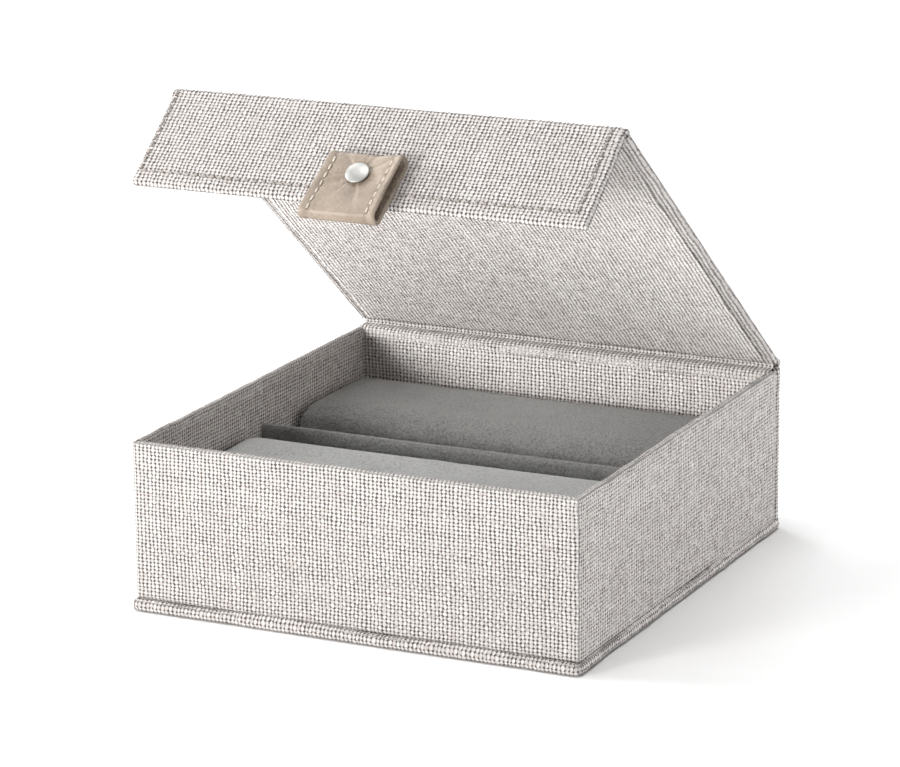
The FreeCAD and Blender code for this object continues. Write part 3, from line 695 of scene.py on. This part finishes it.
def strip(name, corners, smooth, half, seed):
    """A narrow cloth strip along a rounded line of (Y, Z) corners, from side to side of the box."""
    corners = np.asarray(corners, float)
    y, z, v = stepped(corners, WEFT)
    for _ in range(smooth):
        y[1:-1], z[1:-1] = (y[:-2] + 2 * y[1:-1] + y[2:]) / 4, (z[:-2] + 2 * z[1:-1] + z[2:]) / 4
    u = columns_for(half, 0, WARP)
    x = np.clip(u * WARP, -half, half)
    points = np.stack(np.broadcast_arrays(x[None], y[:, None], z[:, None]), -1)
    weave = np.stack(np.broadcast_arrays(u[None], v[:, None]), -1)
    return build(name, [(woven(points, weave, seed=seed), weave)], LINEN)


LID_LOW = on_lid(np.zeros(2), np.array([1.4, 6.5]), np.array([1.02, 1.02]))[:, 1:]
BACK = TRAY_HIGH[1]
RIM = TRAY_HIGH[2] - 0.02
RISE = [(BACK - 5.25, RIM - 3.4), (BACK - 5.2, RIM - 1.3), (BACK - 4.5, RIM + 0.15), (BACK - 3.3, RIM + 0.5)]
RISE += [(BACK - 0.6, RIM + 0.55), (BACK + 0.6, RIM + 0.7)]
rim_strip = strip("hinge_inner_cloth", [*RISE, *LID_LOW], 2, 79.0, 8)
LID_END = on_lid(np.zeros(2), np.array([162.0, LID_LENGTH - 0.4]), np.array([1.02, 1.02]))[:, 1:]
FLAP_START = on_flap(np.zeros(2), np.array([1.6, 6.5]), np.array([1.02, 1.02]))[:, 1:]
fold_strip = strip("fold_inner_cloth", [*LID_END, *FLAP_START], 1, 78.6, 9)
lid_card = card("lid_lining_cloth", 76.5, 3.5, 164.3, 1.38, on_lid, 10)
flap_card = card("flap_lining_cloth", 76.5, 3.5, 34.7, 1.2, on_flap, 11)
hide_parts("lid_lining")
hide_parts("flap_lining")
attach(lid_card, "lid")
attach(flap_card, "flap")

# %% [markdown]
# ## Cloth at the joints
# Each cloth that crosses a joint has its placement baked into its mesh. It is not blended from one body to
# the other.

# %% Baking the joint cloths
def bending(piece, direction):
    """Bake a cloth's placement into its mesh. The direction is not used."""
    direction = np.array(direction) / np.linalg.norm(direction)
    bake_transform(piece)


SPINE_WAY = np.array([0.0, 1.0])
LID_WAY = np.array([-math.cos(LID_TILT), math.sin(LID_TILT)])
FLAP_WAY = np.array([-math.sin(FLAP_TILT), -math.cos(FLAP_TILT)])
bending(lid_cloth, SPINE_WAY + LID_WAY)
bending(flap_cloth, LID_WAY + FLAP_WAY)
bending(rim_strip, (LID_WAY[1], 1.0 - LID_WAY[0]))
bending(fold_strip, (-1.0, 0.0))

# %% [markdown]
# ## Divider and floor
# The divider between the bays is a thin board in the same suede as the rolls, its top edge rounded and a
# little uneven.

# %% Divider
def divider():
    """The suede over the divider: up one face, over the top and down the other, closed at both ends."""
    low, high = span("divider_cover")
    radius = (high[1] - low[1]) / 2
    arc = bend(((low[1] + high[1]) / 2, high[2] - radius), radius, 180, 0, 12)
    section = np.concatenate([[(low[1], low[2])], arc, [(high[1], low[2])]])
    y, z, v = stepped(section, 2.4)
    x = np.linspace(low[0], high[0], 160)
    points = np.stack(np.broadcast_arrays(x[None], y[:, None], z[:, None]), -1).copy()
    top = np.clip((points[..., 2] - high[2] + 8) / 8, 0, 1)
    points[..., 1] += top * wander(x[None] * 0.05, z[:, None] * 0.02, 31) * 0.12
    points[..., 2] -= top * (0.12 + wander(x[None] * 0.06, z[:, None] * 0.0, 32) * 0.12)
    weave = np.stack(np.broadcast_arrays(x[None] / 2, v[:, None]), -1)
    return build("divider_suede", [(points, weave)], SUEDE)


divider_suede = divider()
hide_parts("divider_cover")
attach(divider_suede, "tray")

# %% [markdown]
# ## The two rolls
# Each roll starts as a closed form: a rounded section swept from end panel to end panel, a little smaller
# than its bay. A cloth simulation then fills it from inside while the sewn edges are held, which gives the
# crown and the small puckers along the seams. The result is kept within the space the CAD model gives the
# roll.

# %% Roll forms
def roll_form(low, high, shoulder, heel, rounding):
    """A closed roll: a rounded section carried from end to end, drawn in to its middle line at both ends."""
    middle = (low + high) / 2
    top, foot = high[2], low[2]
    section = np.concatenate([
        bend((high[1] - shoulder, top - shoulder), shoulder, 0, 90, 9),
        bend((low[1] + shoulder, top - shoulder), shoulder, 90, 180, 9),
        bend((low[1] + heel, foot + heel), heel, 180, 270, 7),
        bend((high[1] - heel, foot + heel), heel, 270, 360, 7),
        [(high[1], top - shoulder)],
    ])
    turn = np.linspace(0, math.pi / 2, 6)
    inset = np.concatenate([[middle[2] - foot], rounding * (1 - np.sin(turn)), np.zeros(30)])
    straight = np.linspace(low[0] + rounding, middle[0], 31)[1:]
    x = np.concatenate([[low[0]], low[0] + rounding * (1 - np.cos(turn)), straight])
    inset, x = np.concatenate([inset, inset[-2::-1]]), np.concatenate([x, 2 * middle[0] - x[-2::-1]])
    reach = np.hypot(section[:, 0] - middle[1], section[:, 1] - middle[2])
    share = np.clip(1 - inset[:, None] / (middle[2] - foot), 0, 1) * np.ones_like(reach)
    share[1:-1] = 1 - inset[1:-1, None] / reach
    y = middle[1] + (section[:, 0] - middle[1]) * share
    z = middle[2] + (section[:, 1] - middle[2]) * share
    points = np.stack(np.broadcast_arrays(x[:, None], y, z), -1)
    points[:, -1] = points[:, 0]
    return points


def filled_roll(name, cover, seed):
    """A roll's suede skin: a swept form, filled by simulation, with its end seams held."""
    low, high = span(cover)
    low[0], high[0] = -76.0, 76.0
    small = np.array([0.5, 0.9, 0.9])
    form = roll_form(low + small, high - small, 9.5, 5.5, 2.6)
    piece = build(name, [(form, np.zeros((*form.shape[:2], 2)))], SUEDE)
    remesh = piece.modifiers.new("remesh", "REMESH")
    remesh.mode, remesh.voxel_size = "VOXEL", 0.0028
    apply_modifiers(piece)
    rest = coordinates(piece)
    seam = np.abs(rest[:, 0]) > high[0] - 2.6
    under = rest[:, 2] < low[2] + 1.6
    fill(piece, seam | under)
    moved = coordinates(piece)
    travel = moved - rest
    reach = np.linalg.norm(travel, axis=1, keepdims=True)
    moved = rest + travel * np.minimum(1.0, 1.6 / np.maximum(reach, 1e-9))
    room = np.array([0.15, 0.1, 0.1])
    moved = np.clip(moved, low + room, high - room)
    piece.data.vertices.foreach_set("co", (moved * 0.001).astype(np.float32).ravel())
    smooth = piece.modifiers.new("smooth", "SUBSURF")
    smooth.levels = smooth.render_levels = 1
    apply_modifiers(piece)
    skin = coordinates(piece)
    seamed = np.exp(-(((np.abs(skin[:, 0]) - (high[0] - 3.4)) / 0.55) ** 2))
    pucker = 0.30 + 0.14 * np.sin(skin[:, 1] * 1.6 + seed) * np.cos(skin[:, 2] * 1.4)
    away = (low + high) / 2 - skin
    away[:, 0] = 0
    away /= np.maximum(np.linalg.norm(away, axis=1, keepdims=True), 1e-9)
    dent = wander(skin[:, 0] * 0.05, skin[:, 1] * 0.09, 60 + seed) * 0.22 + 0.2
    skin += away * (seamed * pucker + dent)[:, None]
    piece.data.vertices.foreach_set("co", (skin * 0.001).astype(np.float32).ravel())
    piece.data.shade_smooth()
    return piece


def coordinates(piece):
    """A mesh's points as rows, in millimetres."""
    flat = np.zeros(len(piece.data.vertices) * 3, np.float32)
    piece.data.vertices.foreach_get("co", flat)
    return flat.reshape(-1, 3).astype(float) * 1000.0


def apply_modifiers(piece):
    """Replace a piece's mesh by what its modifiers make of it now."""
    graph = bpy.context.evaluated_depsgraph_get()
    made = bpy.data.meshes.new_from_object(piece.evaluated_get(graph), depsgraph=graph)
    piece.modifiers.clear()
    piece.data = made


def fill(piece, held):
    """Blow a closed skin up from inside for twenty frames, without gravity, with some points held."""
    group = piece.vertex_groups.new(name="held")
    group.add(np.flatnonzero(held).tolist(), 1.0, "REPLACE")
    cloth = piece.modifiers.new("filling", "CLOTH")
    cloth.settings.use_pressure = True
    cloth.settings.uniform_pressure_force = 4.0
    cloth.settings.vertex_group_mass = "held"
    cloth.settings.effector_weights.gravity = 0.0
    cloth.settings.quality = 6
    for number in range(1, 21):
        bpy.context.scene.frame_set(number)
    apply_modifiers(piece)
    bpy.context.scene.frame_set(1)


ROLLS = []
for side, seed in (("front", 1), ("back", 4)):
    roll = filled_roll(side + "_roll_suede", side + "_roll_cover", seed)
    parts = [side + "_roll_" + part for part in ("cover", "filling", "left_end", "right_end")]
    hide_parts(*parts)
    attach(roll, side + "_roll")
    ROLLS.append(roll)
    print(roll.name, len(roll.data.polygons), "faces")

# %% [markdown]
# ## The leather tab
# The tab is a leather band folded into a flat loop and riveted through the flap. Each ply is a closed
# surface: a thin rounded section carried round the loop. The side edges curl up a little, the middle sinks
# under the rivet, and shallow creases run out from it.

# %% Tab
TAB_LOW, TAB_HIGH, RIVET_AT = -47.1, -20.8, -29.8
TAB_HALF, SEAM_AT, LEAN = 13.5, 10.5, 0.079


def loop_point(s, inset, low, high, back, front):
    """A point (y, z) at share s of a flat loop with round ends, a given distance inside its outer face."""
    radius = (back - front) / 2
    straight = high - low - 2 * radius
    whole = 2 * straight + 2 * math.pi * radius
    at = s * whole
    first, second, third = straight, straight + math.pi * radius, 2 * straight + math.pi * radius
    angle = np.where(at < second, (at - first) / radius, (at - third) / radius + math.pi)
    mid = (back + front) / 2
    reach = radius - inset
    y = np.where(at < first, front + inset, mid - reach * np.cos(angle))
    z = np.where(at < first, high - radius - at, low + radius - reach * np.sin(angle))
    y = np.where((at >= second) & (at < third), back - inset, y)
    z = np.where((at >= second) & (at < third), low + radius + at - second, z)
    z = np.where(at >= third, high - radius - reach * np.sin(angle), z)
    return y, z


def ply_section(half, thick, edge=7, face=91):
    """A thin rounded section as (x, inset) points: outer face, edge, inner face and the other edge."""
    radius = thick / 2
    x = np.linspace(-half + radius, half - radius, face)
    angle = np.linspace(-math.pi / 2, math.pi / 2, edge)[1:-1]
    right = np.stack([half - radius + radius * np.cos(angle), radius + radius * np.sin(angle)], 1)
    left = right[::-1] * (-1, 1)
    outer = np.stack([x, np.zeros(face)], 1)
    inner = np.stack([x[::-1], np.full(face, thick)], 1)
    section = np.concatenate([outer, right, inner, left, outer[:1]])
    return section[:, 0], section[:, 1]


def taper(z):
    """The tab narrows a little towards its top fold."""
    return 1 - 0.045 * np.clip((z - TAB_LOW) / (TAB_HIGH - TAB_LOW), 0, 1) ** 1.5


def leaning(z):
    """How far the tab leans to the side at a height: it is sewn on a little out of square."""
    return LEAN * (z - RIVET_AT)


def tab_relief(x, z):
    """How far the tab's front lies behind its flat face at (x, z), x before the taper."""
    from_rivet = np.hypot(x, z - RIVET_AT)
    angle = np.arctan2(z - RIVET_AT, x)
    side = np.abs(x) / TAB_HALF
    dimple = 0.8 * np.exp(-((from_rivet / 7.0) ** 2))
    ridge = np.maximum(0, np.cos(angle * 5 + 0.6)) ** 3 + 0.6 * np.maximum(0, np.cos(angle * 7 + 2.4)) ** 4
    creases = 0.42 * np.exp(-(((from_rivet - 8.0) / 4.5) ** 2)) * ridge
    low_fan = np.arctan2(z + 37.5, x + 4.0) + 0.35 * wander(x * 0.3, z * 0.3, 44)
    fan = 0.06 * np.exp(-(((np.hypot(x + 4.0, z + 37.5) - 4.5) / 3.2) ** 2)) * np.cos(low_fan * 13)
    groove = 0.30 * np.exp(-(((np.abs(x) - SEAM_AT) / 0.75) ** 2))
    border = 0.75 * np.clip((side - 0.93) / 0.07, 0, 1) ** 2
    border = border - 0.50 * np.clip((side - 0.78) / 0.22, 0, 1) ** 0.7
    flare = -1.4 * np.clip((x - 3) / 10.5, 0, 1) ** 1.4
    hollow = 0.35 * (1 - side**2) * np.clip((z - TAB_LOW) / 14, 0, 1)
    uneven = 0.09 * wander(x * 0.2, z * 0.2, 41) - 0.1
    return dimple + creases + fan + groove + border + hollow + flare + uneven


def tab_ply(name, node, half, inset, thick, material):
    """One ply of the tab as a closed band."""
    x, depth = ply_section(half, thick)
    across, share = np.meshgrid(x, np.linspace(0, 1, 221))
    y, z = loop_point(share, inset + depth[None], TAB_LOW, TAB_HIGH, -1.5, -6.5)
    ahead = np.clip((-3.4 - y) / 2.0, 0, 1)
    ends = np.clip(1 - np.abs(z - (TAB_LOW + TAB_HIGH) / 2) / (TAB_HIGH - TAB_LOW) * 1.2, 0, 1) ** 0.5
    y = y + ahead * tab_relief(across, z) * (0.35 + 0.65 * ends)
    lift = np.clip((TAB_LOW + 1.7 - z) / 1.7, 0, 1)
    pinch = np.exp(-(((np.abs(across) - SEAM_AT) / 0.8) ** 2))
    z = z + lift * (0.18 * wander(across * 0.14, 0.0, 43) + 0.25 * pinch)
    points = turned(np.stack([across * taper(z) + leaning(z), y, z], -1), FLAP_TILT, FOLD)
    points[-1] = points[0]
    weave = np.stack([across / 2, share * 30], -1)
    piece = build(name, [(points, weave)], material)
    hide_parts(node)
    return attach(piece, "flap")


tab_leather = tab_ply("tab_leather_band", "tab_leather", TAB_HALF, 0.0, 0.8, LEATHER)
tab_ply("tab_lining_band", "tab_lining", TAB_HALF - 0.3, 0.82, 0.46, PLY)

# %% [markdown]
# ## Rivet and stitches
# The rivet's cap is a turned form. A stitch is a short thread that rises from the cloth, lies flat and dives
# in again; all stitches of a seam are copies of one small form, placed along the seam in one array.

# %% Rivet and stitches
def rivet():
    """The cap of the rivet: a profile turned about the rivet's axis, domed, with a rolled edge."""
    radius, height = 4.0, 1.25
    roll = bend((radius - 0.4, 0.4), 0.4, -80, 48, 12)
    dome = np.linspace(roll[-1, 0], 0, 18)
    rise = roll[-1, 1] + (height + 0.25 - roll[-1, 1]) * (1 - (dome / roll[-1, 0]) ** 2.2)
    profile = np.concatenate([[(radius - 1.6, 0.0)], roll, np.stack([dome, rise], 1)[1:]])
    turn = np.linspace(0, 2 * math.pi, 73)
    r, h = profile[:, 0], profile[:, 1]
    x = r[:, None] * np.cos(turn)[None]
    z = r[:, None] * np.sin(turn)[None] + RIVET_AT
    y = np.broadcast_to(-6.05 - h[:, None], x.shape)
    points = turned(np.stack([x, y, z], -1), FLAP_TILT, FOLD)
    points[:, -1] = points[:, 0]
    weave = np.stack(np.broadcast_arrays(turn[None], h[:, None]), -1)
    return build("rivet_dome", [(points, weave)], METAL)


def stitch_form(length, width, height, sections=9, around=8):
    """One stitch about its own middle, as (along, across, up): a tapering round thread in a low arch."""
    t = np.linspace(-1, 1, sections)
    thin = np.sqrt(np.clip(1 - (np.abs(t) ** 4), 0, 1)) * 0.9 + 0.1
    thin[[0, -1]] = 0
    ring_angle = np.linspace(0, 2 * math.pi, around + 1)
    along = np.broadcast_to(t[:, None] * length / 2, (sections, around + 1))
    across = thin[:, None] * np.cos(ring_angle)[None] * width / 2
    arch = height * (1 - t**4) - 0.28 * height
    up = arch[:, None] + thin[:, None] * np.sin(ring_angle)[None] * height / 2 - height * 0.35
    form = np.stack([along, across, up], -1)
    form[:, -1] = form[:, 0]
    return form


def seam(name, middles, ways, material, node, pitch):
    """A row of stitches on the flap's front: middles (x, y, z) and directions (x, z), in the flap's frame."""
    form = stitch_form(pitch * 0.86, 0.74, 0.5)
    middles, ways = np.asarray(middles, float), np.asarray(ways, float)
    tilt = rng.uniform(-0.14, 0.14, len(middles))
    size = rng.uniform(0.9, 1.08, len(middles))
    c, s = np.cos(tilt), np.sin(tilt)
    ways = np.stack([ways[:, 0] * c - ways[:, 1] * s, ways[:, 0] * s + ways[:, 1] * c], 1)
    along, across = form[None, ..., 0] * size[:, None, None], form[None, ..., 1]
    middles, ways = middles[:, None, None], ways[:, None, None]
    x = middles[..., 0] + along * ways[..., 0] - across * ways[..., 1]
    z = middles[..., 2] + along * ways[..., 1] + across * ways[..., 0]
    y = middles[..., 1] - np.broadcast_to(form[None, ..., 2], x.shape)
    points = turned(np.stack([x, y, z], -1), FLAP_TILT, FOLD)
    rows, columns = form.shape[:2]
    weave = np.stack(np.meshgrid(np.linspace(0, 1, columns), np.linspace(0, 1, rows)), -1)
    grids = [(stitch, weave) for stitch in points]
    piece = build(name, grids, material)
    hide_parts(node)
    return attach(piece, "flap")


PITCH = 3.1
level = np.arange(-78.5 + PITCH / 2, 75.6, PITCH)
level = level[np.abs(level) > 14.2]
upright = np.arange(-33.5 + PITCH / 2, -0.6, PITCH)
middles = [(x, -1.78, -33.5) for x in level] + [(x, -1.78, z) for x in (-78.5, 75.6) for z in upright]
ways = [(1, 0)] * len(level) + [(0, 1)] * (2 * len(upright))
flap_seam = seam("flap_stitches", middles, ways, THREAD, "flap_stitching", PITCH)
down_tab = np.arange(TAB_LOW + 2.6, TAB_HIGH - 1.6, 3.2)
middles = []
for side in (-SEAM_AT, SEAM_AT):
    relief = tab_relief(np.full(len(down_tab), side), down_tab)
    middles += [(side * taper(z) + leaning(z), -6.56 + r * 0.85, z) for r, z in zip(relief, down_tab)]
tab_seam = seam("tab_stitches", middles, [(LEAN, 1)] * len(middles), CREAM, "tab_stitching", 3.4)
rivet_dome = rivet()
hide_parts("rivet_cap")
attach(rivet_dome, "flap")
print("stitches:", len(level) + 2 * len(upright), "on the flap,", len(middles), "on the tab")

# %% [markdown]
# ## CAD nodes that stay
# Boards, fillings, magnets and the inside of the rivet are hidden inside the cloth, or nearly so. They keep
# their CAD shape and get the finish of their material slot.

# %% Kept nodes
FINISHES = {
    "board": BOARD, "filling": WADDING, "magnet": MAGNET, "rivet_post": METAL, "rivet_back": METAL,
    "tray_floor_lining": SUEDE,
}
for name, node in NODES.items():
    if node.hide_render:
        continue
    finish = next((FINISHES[key] for key in FINISHES if key in name), LINEN)
    node.data.materials.clear()
    node.data.materials.append(finish)
print("kept:", sorted(n for n, o in NODES.items() if not o.hide_render))

# %% [markdown]
# ## Light, floor and camera
# The box stands on a white floor inside a white surround. A low light from the front left reaches in under
# the lid, lights from the left and from above leave the soft shadow on the right, and a weak one opens the
# right side. The floor's own light and four reflectors reach only the pieces they are named with.

# %% Stage
scene = bpy.context.scene
scene.view_settings.view_transform = "Standard"
world = bpy.data.worlds.new("surround")
scene.world = world
world.use_nodes = True
world.node_tree.nodes["Background"].inputs[0].default_value = (1.0, 1.0, 1.0, 1.0)
world.node_tree.nodes["Background"].inputs[1].default_value = 0.12


def floor_material():
    """Matt white, with the faintest grain, that turns into the bright surround far from the box."""
    shader = Shader("floor", Roughness=0.9, Specular_IOR_Level=0.0, Emission_Strength=1.0)
    place = shader.place()
    grain = shader.noise(place, 40.0)
    away = shader.node("ShaderNodeVectorMath", {"operation": "LENGTH"}, {0: place}, 1).steps(0.5, 1.3)
    shader.feed("Emission Color", shader.mix(away, (0, 0, 0, 1), (1, 1, 1, 1)))
    shader.feed("Base Color", shader.mix(grain, (0.93, 0.93, 0.93, 1), (0.95, 0.95, 0.95, 1)))
    return shader.material


def floor():
    """A wide flat floor at the foot of the box."""
    x, y = np.meshgrid(np.linspace(-9000, 9000, 3), np.linspace(-9000, 9000, 3))
    points = np.stack([x, y, np.full_like(x, -0.05)], -1)
    piece = build("floor", [(points, points[..., :2] / 100)], floor_material())
    return piece


def surround():
    """A white ball far round the stage. The camera and reflections see it, and it lights nothing else."""
    turn, lift = np.meshgrid(np.linspace(0, 2 * math.pi, 49), np.linspace(-math.pi / 2, math.pi / 2, 25))
    points = 8000 * np.stack([np.cos(lift) * np.cos(turn), np.cos(lift) * np.sin(turn), np.sin(lift)], -1)
    shader = Shader("surround", Emission_Strength=1.0)
    shader.surface.inputs["Base Color"].default_value = (0, 0, 0, 1)
    shader.surface.inputs["Emission Color"].default_value = (1, 1, 1, 1)
    piece = build("surround", [(points, points[..., :2] / 1000)], shader.material)
    for kind in ("diffuse", "transmission", "volume_scatter", "shadow"):
        setattr(piece, "visible_" + kind, False)
    return piece


def area_light(name, place, target, size, power, tint=(1.0, 1.0, 1.0)):
    """A square area light that faces a target point. It isn't seen by the camera."""
    data = bpy.data.lights.new(name, "AREA")
    data.size, data.energy, data.color = size, power, tint
    lamp = bpy.data.objects.new(name, data)
    scene.collection.objects.link(lamp)
    lamp.location = place
    lamp.rotation_mode = "QUATERNION"
    lamp.rotation_quaternion = (Vector(target) - Vector(place)).to_track_quat("-Z", "Y")
    lamp.visible_camera = False
    return lamp


def only_on(lamp, pieces):
    """A light that reaches only some pieces, as a small reflector held into the opening would."""
    group = bpy.data.collections.new(lamp.name + "_reaches")
    for piece in pieces:
        group.objects.link(piece)
    lamp.light_linking.receiver_collection = group


FLOOR = floor()
surround()
CENTRE = (0.0, 0.0, 0.06)
area_light("front_low", (-0.40, -0.94, 0.22), CENTRE, 0.28, 6.8, (1.0, 0.985, 0.97))
area_light("left", (-1.9, -0.3, 0.75), CENTRE, 0.7, 27.0)
area_light("behind_left", (-1.4, 0.9, 1.5), CENTRE, 1.0, 11.0)
area_light("right", (2.0, 0.0, 0.6), CENTRE, 0.9, 7.0)
area_light("top", (0.0, 0.0, 2.0), CENTRE, 1.2, 19.0)
only_on(area_light("floor_top", (-0.1, 0.0, 2.0), CENTRE, 1.2, 14.0), [FLOOR])
only_on(area_light("fill_behind", (1.25, 1.65, 0.7), CENTRE, 0.45, 19.0), [tray_cloth, base_cloth, lid_cloth])
only_on(area_light("fill_low", (-0.44, -0.94, 0.21), CENTRE, 0.28, 7.6), [tray_lining, lid_card, fold_strip])
only_on(area_light("fill_hinge", (-0.8, -1.85, 0.75), CENTRE, 0.5, 19.0), [rim_strip])
only_on(area_light("fill_high", (-0.5, -1.6, 1.3), CENTRE, 0.9, 34.0), [ROLLS[0]])

# %% Camera
YAW, PITCH_DOWN, ROLL = math.radians(25.9247), math.radians(15.4275), math.radians(-0.5624)
reach = math.cos(PITCH_DOWN)
forward = Vector((-math.sin(YAW) * reach, math.cos(YAW) * reach, -math.sin(PITCH_DOWN)))
level_right = Vector((math.cos(YAW), math.sin(YAW), 0.0))
level_up = level_right.cross(forward)
right = level_right * math.cos(ROLL) + level_up * math.sin(ROLL)
up = level_up * math.cos(ROLL) - level_right * math.sin(ROLL)
camera_data = bpy.data.cameras.new("camera")
camera_data.lens, camera_data.sensor_width = 162.95, 36.0
camera_data.clip_start, camera_data.clip_end = 0.05, 50.0
camera_data.dof.use_dof = False
camera = bpy.data.objects.new("camera", camera_data)
scene.collection.objects.link(camera)
facing = Matrix((right, up, -forward)).transposed().to_4x4()
camera.matrix_world = Matrix.Translation((0.57061, -1.18448, 0.42768)) @ facing
scene.camera = camera

# %% [markdown]
# ## Soft pieces
# The linen is stretched over board and glued, and the flat size of each piece of it is how many yarns it has
# each way. The tab is leather folded over on itself.

# %% Flat sizes of the cloths
def cut_size(piece):
    """The flat size of a cloth in metres: how far its yarn coordinates reach, times the yarn pitch."""
    layer = piece.data.uv_layers["Weave"].data
    yarns = np.empty(2 * len(layer))
    layer.foreach_get("uv", yarns)
    reach = np.ptp(yarns.reshape(-1, 2), axis=0)
    return float(reach[0]) * WARP / 1000, float(reach[1]) * WEFT / 1000


GLUED = [
    (tray_cloth, ["tray_front_board", "tray_left_board", "tray_right_board", "tray_back_outer_board"], []),
    (tray_lining, ["tray_front_board", "tray_left_board", "tray_right_board", "tray_back_inner_board"], []),
    (lid_cloth, ["spine_board", "lid_board"], []),
    (flap_cloth, ["flap_board"], [flap_seam]),
    (lid_card, ["lid_board"], []),
    (flap_card, ["flap_board"], []),
    (rim_strip, ["tray_cloth", "lid_cloth"], []),
    (fold_strip, ["lid_cloth", "flap_cloth"], []),
]
for piece, under, sewn in GLUED:
    print(piece.name, "flat mm", [round(side * 1000, 1) for side in cut_size(piece)])
    cut_size(piece)
